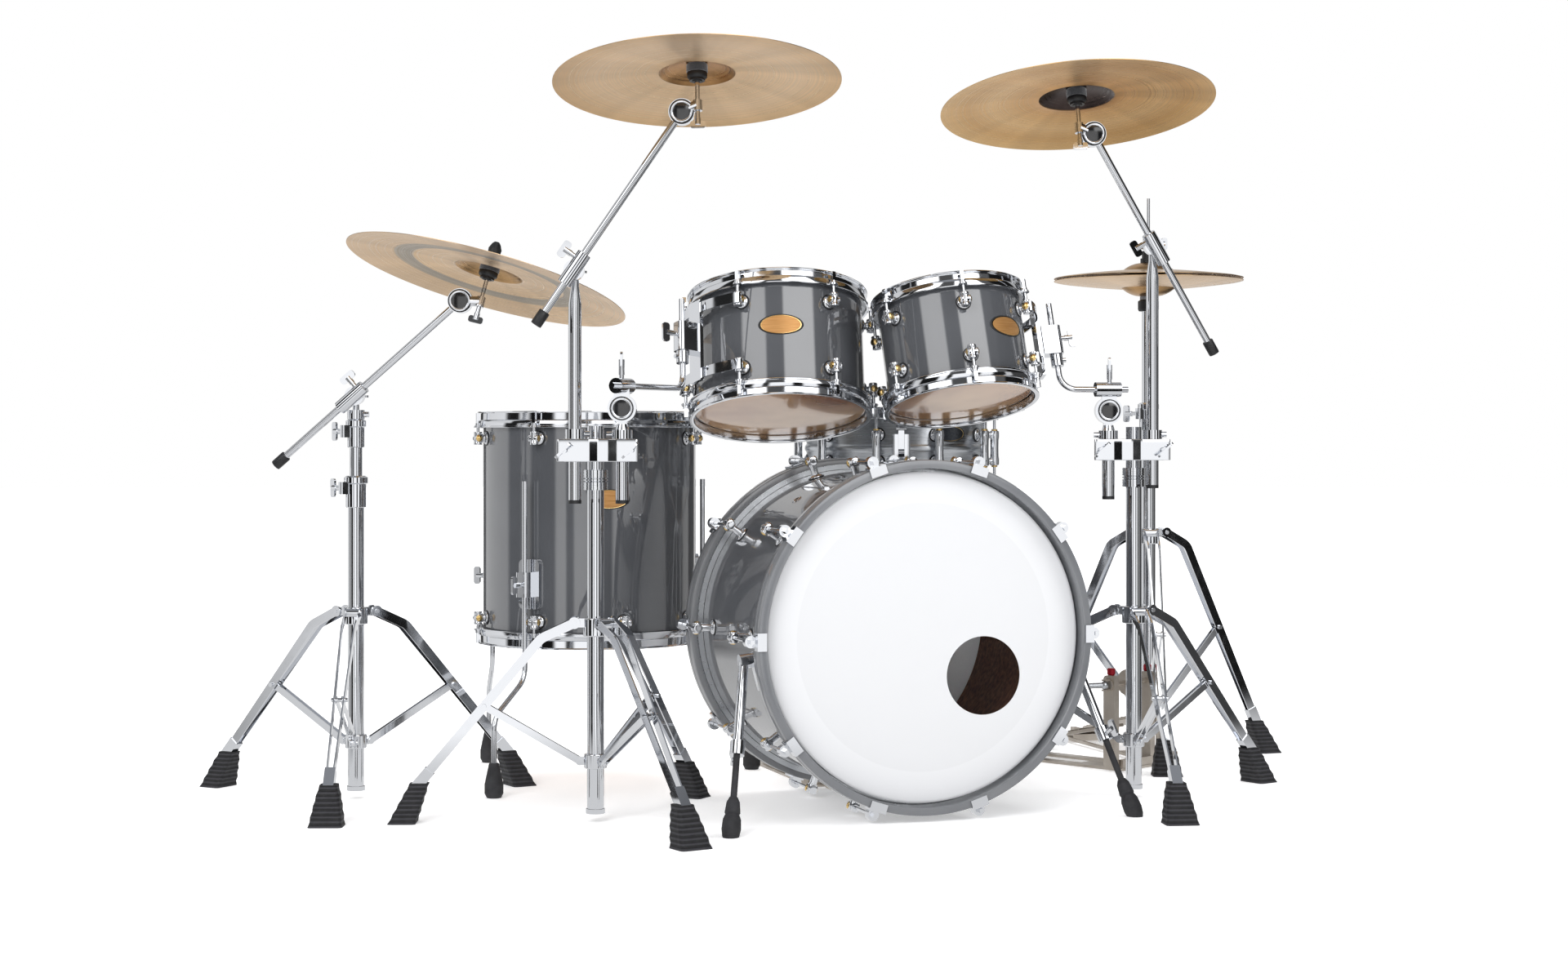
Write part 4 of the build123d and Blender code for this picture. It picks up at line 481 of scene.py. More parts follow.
def solids(name):
    """Face lists of a CAD node's separate solids, each with its lowest and highest corner."""
    mesh = frame["nodes"][name].data
    spots = {}
    owner = list(range(len(mesh.vertices)))

    def root(i):
        while owner[i] != i:
            owner[i] = owner[owner[i]]
            i = owner[i]
        return i

    for vertex in mesh.vertices:
        key = tuple(round(v * 1e5) for v in vertex.co)
        owner[vertex.index] = spots.setdefault(key, vertex.index)
    for face in mesh.polygons:
        first = root(face.vertices[0])
        for i in face.vertices[1:]:
            owner[root(i)] = first
    groups = {}
    for face in mesh.polygons:
        groups.setdefault(root(face.vertices[0]), []).append(face)
    found = []
    for faces in groups.values():
        points = [mesh.vertices[i].co for face in faces for i in face.vertices]
        low = Vector([min(p[k] for p in points) for k in range(3)])
        high = Vector([max(p[k] for p in points) for k in range(3)])
        found.append((faces, low, high))
    return found


def dress(name, looks, by_solid=None, by_face=None):
    """Gives a CAD node its looks. by_solid(low, high) picks the look of each separate solid from its
    box, and by_face(centre) that of each face."""
    mesh = frame["nodes"][name].data
    mesh.materials.clear()
    for each in looks:
        mesh.materials.append(each)
    for faces, low, high in solids(name) if by_solid else ():
        index = by_solid(low, high)
        for face in faces:
            face.material_index = index
    for face in mesh.polygons if by_face else ():
        face.material_index = by_face(face.center)


def repeat(name, model, spots):
    """One piece made of a model copied to each spot. The model itself is used up."""
    pieces = []
    for spot in spots:
        twin = model.copy()
        twin.data = model.data.copy()
        twin.data.transform(spot)
        bpy.context.collection.objects.link(twin)
        pieces.append(twin)
    bpy.data.objects.remove(model)
    return join(name, pieces)


def lug_foot(foot, offset):
    """Foot and post of one lug at the origin, Z out of the shell: chrome on a black gasket."""
    gasket = lathe("gasket", mm((foot - 3, -1.2), (foot + 1.7, -1.2), (foot + 1.9, 0.7), (foot + 1.2, 1.4),
                                (foot - 3, 1.4)), Matrix(), 36)
    post = lathe("post", mm((3, 0.6), (foot, 0.6), (foot + 0.2, 1.7), (foot - 0.5, 3.0), (foot - 2.8, 4.3),
                            (7.4, 5.0), (6.5, 6.2), (6.4, offset - 9.5), (8.2, offset - 8.6),
                            (8.4, offset - 6.8), (7.7, offset - 3.5), (3, offset - 3.5)), Matrix(), 32)
    return join("lug", [paint(gasket, BLACK_PLASTIC), paint(post, CHROME)])


def both_ends(*half):
    """Outline in metres that is alike at both ends, from the points of its upper half in millimetres."""
    return mm(*[(radius, -height) for radius, height in reversed(half) if height], *half)


def lug_barrel(offset):
    """Sleeve along the drum and gold capped cross barrel of one lug at the origin."""
    cross = Matrix.Translation((0, 0, offset * 0.001)) @ Matrix.Rotation(radians(90), 4, "X")
    along = Matrix.Translation((0, 0, offset * 0.001)) @ Matrix.Rotation(radians(90), 4, "Y")
    half = [(7.1, 0.0), (7.1, 6.0), (7.6, 6.4), (7.6, 8.8), (7.0, 9.6), (6.2, 9.8), (5.6, 10.1),
            (4.8, 10.9), (2.8, 11.7), (0.0, 12.0)]
    barrel = lathe("barrel", both_ends(*half), cross, 32)
    paint(barrel, CHROME, GOLD, place=cross, choose=lambda c, n: 1 if abs(c.z) > 0.0098 else 0)
    sleeve = lathe("sleeve", both_ends((7.55, 7.9), (7.8, 8.4), (7.8, 11.5), (7.65, 11.95), (7.45, 12.05),
                                       (3.3, 12.05)), along, 32)
    return join("lug", [barrel, paint(sleeve, CHROME)])


def lug_trim(name, place, radius, offset, foot, height, count, first, body):
    """The finish of a drum's lugs, over the castings of the frame."""
    turns = [first + 360 / count * i for i in range(count)]
    spots = [polar_place(place, turn, radius, side * height) for turn in turns for side in (1, -1)]
    pieces = [repeat("feet", lug_foot(foot, offset), spots)]
    if name == "snare":
        tube = lathe("tube", both_ends((8.1, 0.0), (8.4, 16.0), (9.3, 22.0), (9.3, 29.0), (8.9, 33.0),
                                       (7.4, 34.2), (5.9, 34.6), (5.9, 36.6), (5.0, 37.6), (3.2, 37.6)),
                     Matrix(), 32)
        paint(tube, CHROME, GOLD, choose=lambda c, n: 1 if abs(c.z) > 0.0344 else 0)
        rods = lathe("rods", mm((0, -76.0), (2.8, -76.0), (2.8, 76.0), (0, 76.0)), Matrix(), 16)
        tube = join("tube", [tube, paint(rods, CHROME)])
        out = Matrix.Translation((radius + offset * 0.001, 0, 0))
        spots = [place @ Matrix.Rotation(radians(turn), 4, "Z") @ out for turn in turns]
        pieces.append(repeat("tubes", tube, spots))
    else:
        pieces.append(repeat("barrels", lug_barrel(offset), spots))
    trim = join(name + "_lug_trim", pieces)
    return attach(trim, body)


# Washers are the only solids as small as this, and only rubber tips come this near the floor.
WASHER, TIP = 0.0125, 0.002
dress("bass_lugs", [CHROME, STEEL], lambda low, high: 1 if max(high - low) < WASHER else 0)
lug_trim("bass", bass_place, BASS_RADIUS, 31.0, 12.6, BASS_DEPTH / 2 - 0.091, 10, 0.0, "kit")
for side in ("spur_left", "spur_right"):
    dress(side, [CHROME, RUBBER], lambda low, high: 1 if low.z < TIP else 0)

# ----------------------------------------
# Rack toms and floor tom: grey lacquered shells, triple flanged chrome hoops, coated batter heads
# and clear resonant heads.
# ----------------------------------------

# Clear film before the dark wooden inside of a shell, drawn opaque with that inside painted on it: the
# wood's own brown, with dark brown patches of painted shade and tan patches of painted light, under a wet
# gloss.
CLEAR_FILM_PAINTED_INSIDE, tree, shader = look("clear_film", "#c09a7e", 0.12, Coat_Weight=0.7, Coat_Roughness=0.05)
mottle(tree, shader, grain(tree, 3.5), (0.35, "#85583f"), (0.6, "#cba57d"))
relief(tree, shader, grain(tree, 12.0), 0.0006, 0.2)

# Spun steel, brushed round the shell: bright grey with level lines, drawn coarser than real.
SNARE_METAL, tree, shader = look("brushed_steel_shell", "#c9ccd1", 0.30, 1.0)
around_shell = node(tree, "Mapping", {"Vector": node(tree, "TexCoord").outputs["Object"],
                                      "Scale": (0.4, 0.4, 60.0)}).outputs["Vector"]
gloss(tree, shader, grain(tree, 30.0, around_shell), 0.22, 0.40)
mottle(tree, shader, grain(tree, 14.0, around_shell), (0.3, "#bfc3c8"), (0.7, "#d3d6da"))

# Brushed and tinted brass plate: satin copper gold, its brush lines drawn coarser than real.
BADGE_GOLD, tree, shader = look("brushed_gold_badge", "#b8864f", 0.36, 0.6)
fine = node(tree, "Mapping", {"Vector": node(tree, "TexCoord").outputs["Object"],
                              "Scale": (4.0, 4.0, 300.0)}).outputs["Vector"]
mottle(tree, shader, grain(tree, 6.0, fine), (0.3, "#a6733f"), (0.7, "#c99b63"))
gloss(tree, shader, grain(tree, 9.0, fine), 0.36, 0.50)

# Smoked steel plate: dark grey with a satin sheen.
BADGE_STEEL, tree, shader = look("smoked_badge", "#55585d", 0.28, 1.0)
mottle(tree, shader, grain(tree, 300.0), (0.3, "#4a4d52"), (0.7, "#5f6267"))

DRUMS = {
    "tom12": dict(radius=6 * INCH, depth=8 * INCH, wall=0.006, rise=0.0139, lugs=6, first=-24.0,
                  inset=0.041, axis=(0.0577, 0.2622, 0.9633), body="tom12"),
    "tom10": dict(radius=5 * INCH, depth=7 * INCH, wall=0.006, rise=0.0141, lugs=6, first=-52.0,
                  inset=0.041, axis=(-0.0277, 0.2811, 0.9593), body="tom10"),
    "floor_tom": dict(radius=8 * INCH, depth=16 * INCH, wall=0.007, rise=0.0163, lugs=8, first=-23.0,
                      inset=0.034, axis=(0, 0, 1), body="kit"),
    "snare": dict(radius=7 * INCH, depth=5.5 * INCH, rise=0.009, lugs=10, first=-14.0, inset=0.04385,
                  axis=(0, 0, 1), body="kit"),
}
ROD_OFFSET, ROD_RADIUS, SHEET = 0.017, 0.0028, 0.0023


def hoop_piece(name, drum, place):
    """Triple flanged hoop of pressed steel, with an ear at each rod."""
    r, edge, rise, t = drum["radius"], drum["depth"] / 2, drum["rise"], SHEET
    low, lip, top = edge - 0.014, edge - 0.003, edge + rise
    outline = [(r + 0.0085, low), (r + 0.0128, low), (r + 0.0130, low + 0.0003), (r + 0.0130, low + t),
               (r + 0.0114, low + t), (r + 0.0108, low + t + 0.0006), (r + 0.0108, lip + 0.001),
               (r + 0.0100, lip + t), (r + 0.0066, lip + t + 0.0003), (r + 0.0056, lip + t + 0.0012),
               (r + 0.0053, top - t - 0.001), (r + 0.0060, top - t), (r + 0.0105, top - t),
               (r + 0.0111, top - 0.6 * t), (r + 0.0108, top - 0.0002), (r + 0.0045, top),
               (r + 0.0034, top - 0.0005), (r + 0.0030, top - 0.002), (r + 0.0030, lip + 0.001),
               (r + 0.0040, lip), (r + 0.0077, lip), (r + 0.0085, lip - 0.001)]
    pieces = []
    for side in (1, -1):
        pieces.append(lathe("hoop", [(a, z * side) for a, z in outline], place, angle=35))
        z = low * side
        ear = lathe("ear", [(ROD_RADIUS + 0.0003, z), (0.0076, z), (0.008, z + 0.0004 * side),
                            (0.008, z + (t - 0.0004) * side), (0.0076, z + t * side),
                            (ROD_RADIUS + 0.0003, z + t * side)], Matrix(), 20)
        # The washer and the steel bolt head that press on each ear, turned as one piece in the hoop's
        # chrome.
        seat = edge - 0.014 + t
        head = mm((2.9, 0), (6.8, 0), (6.8, 1.6), (5.2, 1.9), (5.0, 6.0), (2.9, 6.2))
        bolt = lathe("bolt", [(radius, (seat + z) * side) for radius, z in head], Matrix(), 20)
        turns = [place @ Matrix.Rotation(radians(drum["first"] + 360 / drum["lugs"] * i), 4, "Z")
                 @ Matrix.Translation((r + ROD_OFFSET, 0, 0)) for i in range(drum["lugs"])]
        pieces += [repeat("ears", ear, turns), repeat("bolts", bolt, turns)]
    return paint(join(name, pieces), CHROME)


def badge(name, place, radius, angle, height, wide, tall, body, metal):
    """Bare oval badge with a pale gold border and a raised dark rim, wrapped on the shell."""
    piece = lathe(name, [(0.0, 0.0011), (0.2, 0.0011), (0.4, 0.0011), (0.6, 0.0011), (0.87, 0.0011),
                         (0.91, 0.0010), (0.93, 0.0015), (0.975, 0.0015), (1.0, 0.0010), (1.0, -0.0004),
                         (0.6, -0.0004), (0.3, -0.0004), (0.0, -0.0004)], Matrix(), 72)
    paint(piece, metal, GOLD, BLACK_PLASTIC,
          choose=lambda c, n: sum(c.xy.length > edge for edge in (0.872, 0.918)))
    for vertex in piece.data.vertices:
        across, up, out = vertex.co.x * wide / 2, vertex.co.y * tall / 2, vertex.co.z
        turn = radians(angle) + across / radius
        vertex.co = ((radius + out) * cos(turn), (radius + out) * sin(turn), height + up)
    piece.data.transform(place)
    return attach(piece, body)


def snare_shell_piece(radius, depth, place):
    """Spun steel shell with a centre bead, its ends cut on a slight slope."""
    half, wall = depth / 2, 0.0016
    out = [(0.0, half), (0.0, 0.008), (0.0014, 0.0062), (0.0030, 0.0036), (0.0036, 0.0), (0.0030, -0.0036),
           (0.0014, -0.0062), (0.0, -0.008), (0.0, -half)]
    outline = [(radius + r, z) for r, z in out]
    outline += [(radius + r - wall, z * 0.985) for r, z in reversed(out)]
    return lathe("snare_shell_dress", outline, place, angle=50)


places = {}
for name, drum in DRUMS.items():
    place = drum_place(middle(name + "_shell"), drum["axis"])
    places[name] = place
    radius, depth, body = drum["radius"], drum["depth"], drum["body"]
    if name == "snare":
        shell = paint(snare_shell_piece(radius, depth, place), SNARE_METAL)
    else:
        shell = shell_piece(name + "_shell_dress", radius, depth, drum["wall"], place, LACQUER)
    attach(shell, drum["body"])
    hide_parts(name + "_shell")
    hoops = hoop_piece(name + "_hoops_dress", drum, place)
    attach(hoops, drum["body"])
    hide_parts(name + "_hoops")
    skirt, flesh, thick = 0.003, radius + 0.0078, 0.006
    top = head_piece(name + "_batter", radius, depth, skirt, flesh, thick, place, 1, COATED)
    low = head_piece(name + "_resonant", radius, depth, skirt, flesh, thick, place, -1, CLEAR_FILM_PAINTED_INSIDE)
    for piece, slot in ((top, "head_white"), (low, "head_clear")):
        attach(piece, drum["body"])
    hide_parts(name + "_heads")
    dress(name + "_lugs", [CHROME])
    lug_height = depth / 2 - drum["inset"]
    trim = lug_trim(name, place, radius, 17.0, 12.0, lug_height, drum["lugs"], drum["first"], body)
    if name == "snare":
        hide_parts("snare_lugs")
    else:
        grommet(name + "_vent", place, 180, radius, body, CHROME)

# Badges: angle from the listener's side, height above the shell's middle, width and height.
for name, angle, height, wide, tall, metal in (
        ("tom12", 2.0, 0.013, 0.080, 0.037, BADGE_GOLD),
        ("tom10", 46.0, 0.007, 0.080, 0.037, BADGE_GOLD),
        ("floor_tom", 14.5, 0.057, 0.080, 0.037, BADGE_GOLD),
        ("snare", 33.0, 0.028, 0.070, 0.031, BADGE_STEEL)):
    radius, body = DRUMS[name]["radius"], DRUMS[name]["body"]
    badge(name + "_badge", places[name], radius, angle, height, wide, tall, body, metal)
FOOT_TOP = 0.0625       # top of the rubber foot of each leg
for name in ("floor_tom_leg_1", "floor_tom_leg_2", "floor_tom_leg_3"):
    dress(name, [CHROME, RUBBER], by_face=lambda spot: 1 if spot.z < FOOT_TOP else 0)
dress("snare_strainer", [CHROME])
dress("snare_lever", [CHROME])

# ----------------------------------------
# Cymbals: hammered B20 bronze, lathed in rings about the bell. The ride keeps an unlathed band, and
# the left-hand crash its dark raw bell.
# ----------------------------------------


def bronze(name, centre, axis, radius, rough, dents, *stops):
    """Lathed and hammered bronze: satin rings about the cymbal's own axis, drawn coarser than the
    tool cuts them, and shallow dents some 24 mm apart. Stops run from the hole (0) to the rim (1)."""
    made, tree, shader = look(name, "#c8a271", rough, 1.0)
    turn = tuple(Vector(axis).to_track_quat("Z", "Y").to_euler())
    spot = node(tree, "TexCoord").outputs["Object"]
    own = node(tree, "Mapping", {"Vector": spot, "Location": tuple(centre), "Rotation": turn},
               vector_type="TEXTURE").outputs["Vector"]
    flat = node(tree, "VectorMath", {0: own, 1: (1, 1, 0)}, operation="MULTIPLY").outputs[0]
    away = node(tree, "VectorMath", {0: flat}, operation="LENGTH").outputs["Value"]
    share = node(tree, "MapRange", {"Value": away, "From Max": radius}).outputs["Result"]
    rings = node(tree, "TexNoise", {"W": away, "Scale": 260.0, "Detail": 5.0},
                 noise_dimensions="1D").outputs["Fac"]
    # Painted sheen: wedges round the cymbal's axis, lighter and darker, stand in for the fan of highlights
    # on lathed bronze.
    around = node(tree, "VectorMath", {0: flat}, operation="NORMALIZE").outputs[0]
    painted_sheen_fan = node(tree, "TexNoise", {"Vector": around, "Scale": 2.6, "Detail": 3.0}).outputs["Fac"]
    tone = node(tree, "ValToRGB", {"Fac": share}, stops).outputs["Color"]
    for pattern, low, high in ((rings, 0.92, 1.14), (painted_sheen_fan, 0.90, 1.16)):
        shade = node(tree, "ValToRGB", {"Fac": pattern}, ((0.32, low), (0.68, high))).outputs["Color"]
        tone = node(tree, "MixRGB", {"Fac": 1.0, "Color1": tone, "Color2": shade},
                    blend_type="MULTIPLY").outputs[0]
    tree.links.new(tone, shader.inputs["Base Color"])
    gloss(tree, shader, rings, rough - 0.05, rough + 0.10)
    hammer = node(tree, "TexVoronoi", {"Vector": own, "Scale": 42.0}, feature="SMOOTH_F1")
    height = node(tree, "Math", {0: hammer.outputs["Distance"], 1: dents, 2: rings},
                  operation="MULTIPLY_ADD").outputs[0]
    relief(tree, shader, height, 0.0003, 0.5)
    return made


def cymbal_outline(radius, bell, bow, rise=0.018, hole=0.0065, sheet=0.0018):
    """Under side and upper side of a cymbal, the rim at height 0."""
    def height(r):
        if r > bell:
            return bow * (1 - ((r - bell) / (radius - bell)) ** 1.3)
        return bow + rise * (1 - ((r - hole) / (bell - hole)) ** 2.6)
    radii = [hole + (bell - hole) * i / 9 for i in range(9)]
    radii += [bell + (radius - bell) * i / 16 for i in range(17)]
    under = [(r, height(r) - (0.0 if r > bell else 0.0018)) for r in radii]
    upper = [(r, height(r) + (sheet if r > bell else 0.0) - (0.0008 if r > radius - 0.001 else 0.0))
             for r in radii]
    return under + upper[::-1]


PALE, TAN = "#d4b691", "#ccac84"
joints = {joint["name"]: joint for joint in frame["joints"]}
CYMBALS = {
    "ride": dict(radius=10 * INCH, bell=0.061, axis=(0.2805, 0.0771, 0.9568), rough=0.30, dents=0.4,
                 stops=((0.0, "#b39168"), (0.235, "#b08d63"), (0.245, PALE), (0.53, "#cfae83"),
                        (0.55, "#8f8474"), (0.66, "#9a8d79"), (0.68, TAN), (1.0, PALE))),
    "right": dict(radius=9.5 * INCH, bell=0.064, axis=(0.0346, 0.1759, 0.9838), rough=0.32, dents=0.5,
                  stops=((0.0, "#b8916a"), (0.26, "#b3895c"), (0.275, TAN), (0.7, PALE), (1.0, "#caa779"))),
    "left": dict(radius=9.5 * INCH, bell=0.067, axis=(0.0146, 0.2002, 0.9796), rough=0.30, dents=1.6,
                 stops=((0.0, "#4a3f3c"), (0.272, "#4a3f3c"), (0.28, "#c1935a"), (0.5, "#cba26a"),
                        (0.62, "#d1ab76"), (0.80, "#c49a60"), (1.0, "#d0aa72"))),
}
RIM_BELOW_ROCK = 0.0215
cymbal_seats = {}
for name, cymbal in CYMBALS.items():
    axis = Vector(cymbal["axis"]).normalized()
    rock = Vector(joints[name + "_cymbal_rock"]["pos_m"])
    centre = rock - axis * RIM_BELOW_ROCK
    cymbal_seats[name] = (rock + axis * 0.0145, axis)
    bronze_look = bronze(name + "_bronze", centre, axis, cymbal["radius"], cymbal["rough"], cymbal["dents"],
                         *cymbal["stops"])
    place = Matrix.Translation(centre) @ axis.to_track_quat("Z", "Y").to_matrix().to_4x4()
    outline = cymbal_outline(cymbal["radius"], cymbal["bell"], 0.018)
    piece = paint(lathe(name + "_cymbal_dress", outline, place, 160), bronze_look)
    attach(piece, name + "_cymbal")
    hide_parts(name + "_cymbal")

for name, side in (("hihat_top_cymbal", 1), ("hihat_bottom_cymbal", -1)):
    low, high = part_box(name)
    centre = Vector(((low.x + high.x) / 2, (low.y + high.y) / 2, low.z if side > 0 else high.z))
    bronze_look = bronze(name + "_bronze", centre, (0, 0, 1), 7.5 * INCH, 0.28, 0.3, (0.0, "#b3916a"),
                         (0.28, "#b18d62"), (0.30, PALE), (1.0, TAN))
    outline = [(r, z * side) for r, z in cymbal_outline(7.5 * INCH, 0.055, 0.014)]
    piece = paint(lathe(name + "_dress", outline, Matrix.Translation(centre), 128), bronze_look)
    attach(piece, "hihat_rod" if side > 0 else "kit")
    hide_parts(name)

# ----------------------------------------
# Booms, poles and tom posts: chromed steel tubes with rubber ends, and cast tilters that carry a
# black cap in a chrome ring.
# ----------------------------------------


def felt_look(name, base, dark, light):
    """Pressed wool felt: matt, with a soft fuzz whose fibres are drawn coarser than they are."""
    made, tree, shader = look(name, base, 0.95, Sheen_Weight=0.6)
    mottle(tree, shader, grain(tree, 700.0, detail=6.0), (0.3, dark), (0.7, light))
    relief(tree, shader, grain(tree, 1200.0, detail=6.0), 0.0006, 0.8)
    return made


FELT = felt_look("black_wool_felt", "#2f3033", "#26272a", "#3d3e42")
GREY_FELT = felt_look("grey_wool_felt", "#75767a", "#67686c", "#85868a")


def tilter_cap(name, face, body, scale=1.0):
    """Black domed cap in a chrome ring on a tilter's round face, which looks at the listener."""
    place = Matrix.Translation(face) @ LISTENER.to_track_quat("Z", "Y").to_matrix().to_4x4()
    profiles = (
        (mm((12.8, -0.8), (16.2, -0.8), (16.3, 0.5), (15.6, 1.5), (13.8, 1.8), (12.9, 1.2)), CHROME),
        (mm((16.4, -0.8), (17.9, -0.8), (17.9, 0.2), (16.4, 0.2)), BLACK_PLASTIC),
        (mm((0, -0.8), (12.7, -0.8), (12.7, 0.9), (11.8, 1.2), (0, 1.5)), BLACK_GLOSS))
    pieces = []
    for outline, finish in profiles:
        pieces.append(paint(lathe("cap", [(r * scale, z) for r, z in outline], place, 40), finish))
    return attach(join(name, pieces), body)


def tube(name, outline, place, finish, steps=64):
    """Plated skin of a round tube, on a frame whose Z is the tube's axis."""
    skin = outline + [(radius - 0.3, height) for radius, height in reversed(outline)]
    return paint(lathe(name, mm(*skin), place, steps, angle=30), finish)


# Enamel: deep black under a clear gloss.
BLACK_GLOSS, tree, shader = look("black_enamel", "#121214", 0.12, Coat_Weight=0.8)
gloss(tree, shader, grain(tree, 90.0), 0.10, 0.20)

# Lower end and tilter of each boom.
BOOMS = {"ride": ((-0.9615, 0.2134, 0.599), (-0.6585, 0.0384, 0.891)),
         "right": ((-0.5922, -0.2840, 0.835), (-0.3534, -0.3268, 1.192)),
         "left": ((0.6438, -0.3156, 0.800), (0.3969, -0.3335, 1.183))}
CAP_LENGTH, PLUG_LENGTH = 0.0262, 0.0061
# Radii of a cymbal's rod and cup, and heights of the cup, lower felt and nut from the cymbal's seat.
ROD_WALL, CUP_WALL = 0.0041, 0.015
CUP_LOW, FELT_LOW, NUT_LOW = -0.0322, -0.0179, 0.0095
# Lower end and radius of each pole, in millimetres.
POLES = {"ride": (480, 9.5), "right": (538, 11.0), "left": (558, 11.0)}
for name, (end, tilter) in BOOMS.items():
    end, tilter = Vector(end), Vector(tilter)
    along = (tilter - end).normalized()
    seat, axis = cymbal_seats[name]
    tilter_cap(name + "_tilter_cap", tilter + LISTENER * 0.011, name + "_boom", 1.15)

    # Polished skins: the boom's tube with its moulded end, the sleeve that grips it, and the pole.
    sloping = Matrix.Translation(end) @ along.to_track_quat("Z", "Y").to_matrix().to_4x4()
    pivot = Vector(joints[name + "_boom_tilt"]["pos_m"])
    length, grip = (tilter - end).length * 1000, (pivot - end).dot(along) * 1000
    bar = tube("bar", [(6.39, 20), (6.39, length - 14)], sloping, CHROME)
    bung = lathe("bung", mm((0, -0.4), (7.0, -0.4), (9.0, 0.5), (9.6, 2.6), (9.6, 25.4), (9.0, 26.4),
                            (6.1, 26.4), (6.1, 24.0), (0, 24.0)), sloping, 40)
    paint(bung, BLACK_PLASTIC)
    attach(join(name + "_boom_skin", [bar, bung]), name + "_boom")
    sleeve = lathe(name + "_sleeve_skin", mm((6.6, grip - 30.3), (10.8, grip - 30.3), (12.1, grip - 29.2),
                                             (12.2, grip - 24), (12.2, grip + 24), (12.1, grip + 29.2),
                                             (10.8, grip + 30.3), (6.6, grip + 30.3)), sloping, 64)
    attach(paint(sleeve, CHROME), name + "_boom_clamp")
    low, r, crown = POLES[name][0], POLES[name][1] + 0.04, pivot.z * 1000 - 16
    upright = Matrix.Translation((pivot.x, pivot.y, 0))
    pole = tube(name + "_pole_skin", [(r, low + 6.2), (r, crown - 40), (0.62 * r, crown - 10),
                                      (0.62 * r, crown - 0.5)], upright, CHROME)
    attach(pole, name + "_pole")

    def boom_look(spot):
        """Chrome, but for the rubber end, the cup and nut, and the felts round the cymbal's rod."""
        if (spot - end).dot(along) < CAP_LENGTH:
            return 1
        height = (spot - seat).dot(axis)
        from_rod = (spot - seat - axis * height).length
        if not ROD_WALL < from_rod < CUP_WALL or height < CUP_LOW:
            return 0
        return 2 if height < FELT_LOW or height > NUT_LOW else 3 if height < 0 else 4

    # Broad felt under the cymbal and the moulded cup that it rests in.
    upright = Matrix.Translation(seat) @ axis.to_track_quat("Z", "Y").to_matrix().to_4x4()
    felt = lathe("felt", mm((4.6, -1.2), (12.0, -1.4), (16.0, -2.6), (17.8, -4.6), (18.0, -16.6),
                            (17.2, -17.6), (4.6, -17.6)), upright, 40)
    cup = lathe("cup", mm((4.6, -17.8), (16.6, -17.8), (17.0, -18.6), (17.0, -25.0), (15.5, -27.5),
                          (9.0, -30.0), (8.0, -34.0), (4.6, -34.0)), upright, 40)
    seat_piece = join(name + "_felt_and_cup", [paint(felt, FELT), paint(cup, BLACK_PLASTIC)])
    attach(seat_piece, name + "_boom")
    dress(name + "_boom", [CHROME, RUBBER, BLACK_PLASTIC, FELT, GREY_FELT], by_face=boom_look)
    dress(name + "_boom_clamp", [CHROME])
    plug_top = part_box(name + "_pole")[0].z + PLUG_LENGTH
    dress(name + "_pole", [CHROME, BLACK_PLASTIC], by_face=lambda spot: 1 if spot.z < plug_top else 0)
for name in ("tom12", "tom10"):
    hub = Vector(joints[name + "_tilt"]["pos_m"])
    tilter_cap(name + "_tilter_cap", hub + LISTENER * 0.016, name, 1.12)
    plug_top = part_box(name + "_post")[0].z + PLUG_LENGTH
    dress(name + "_post", [CHROME, BLACK_PLASTIC], by_face=lambda spot: 1 if spot.z < plug_top else 0)
    dress(name + "_mount", [CHROME])
    skin = tube(name + "_post_skin", [(11.14, 544.2), (11.14, 663), (9.05, 670.6)],
                Matrix.Translation((hub.x, hub.y, 0)), CHROME)
    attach(skin, name + "_post")

# ----------------------------------------
# Stands: chromed tubes and folded strip legs, black nylon bushes in the collars, moulded rubber
# feet ribbed across, and rubber grips on the snare basket.
# ----------------------------------------

# Moulded rubber with a rib every 7.5 mm, its relief drawn by bump: painted shade darkens the grooves and
# painted light brightens the ribs.
RIBBED, tree, shader = look("ribbed_rubber", "#252528", 0.70)
height = node(tree, "SeparateXYZ", {"Vector": node(tree, "TexCoord").outputs["Object"]}).outputs["Z"]
turns = node(tree, "Math", {0: height, 1: 2 * pi / 0.0075}, operation="MULTIPLY").outputs[0]
rib_relief_and_painted_shade = node(tree, "Math", {0: turns}, operation="SINE").outputs[0]
mottle(tree, shader, rib_relief_and_painted_shade, (0.0, "#161618"), (0.6, "#303034"))
gloss(tree, shader, grain(tree, 80.0), 0.60, 0.80)
relief(tree, shader, rib_relief_and_painted_shade, 0.0009, 0.8)

COLUMNS = {"ride_stand_base": (-0.8247, 0.1632), "right_stand_base": (-0.4787, -0.2348),
           "left_stand_base": (0.5173, -0.2478)}
SNARE_COLUMN, HIHAT_COLUMN = (0.2523, 0.2652), (0.7863, 0.2342)
PLUG_RADIUS, PLUG_TOP = 0.0146, 0.0222


def from_column(spot, column):
    return Vector((spot.x - column[0], spot.y - column[1])).length


def column_look(spot, column):
    """Black nylon for the plug in the foot of a stand's column, chrome for the rest."""
    return 1 if from_column(spot, column) < PLUG_RADIUS and spot.z < PLUG_TOP else 0


for name, column in COLUMNS.items():
    dress(name, [CHROME, BLACK_PLASTIC], by_face=lambda spot: column_look(spot, column))

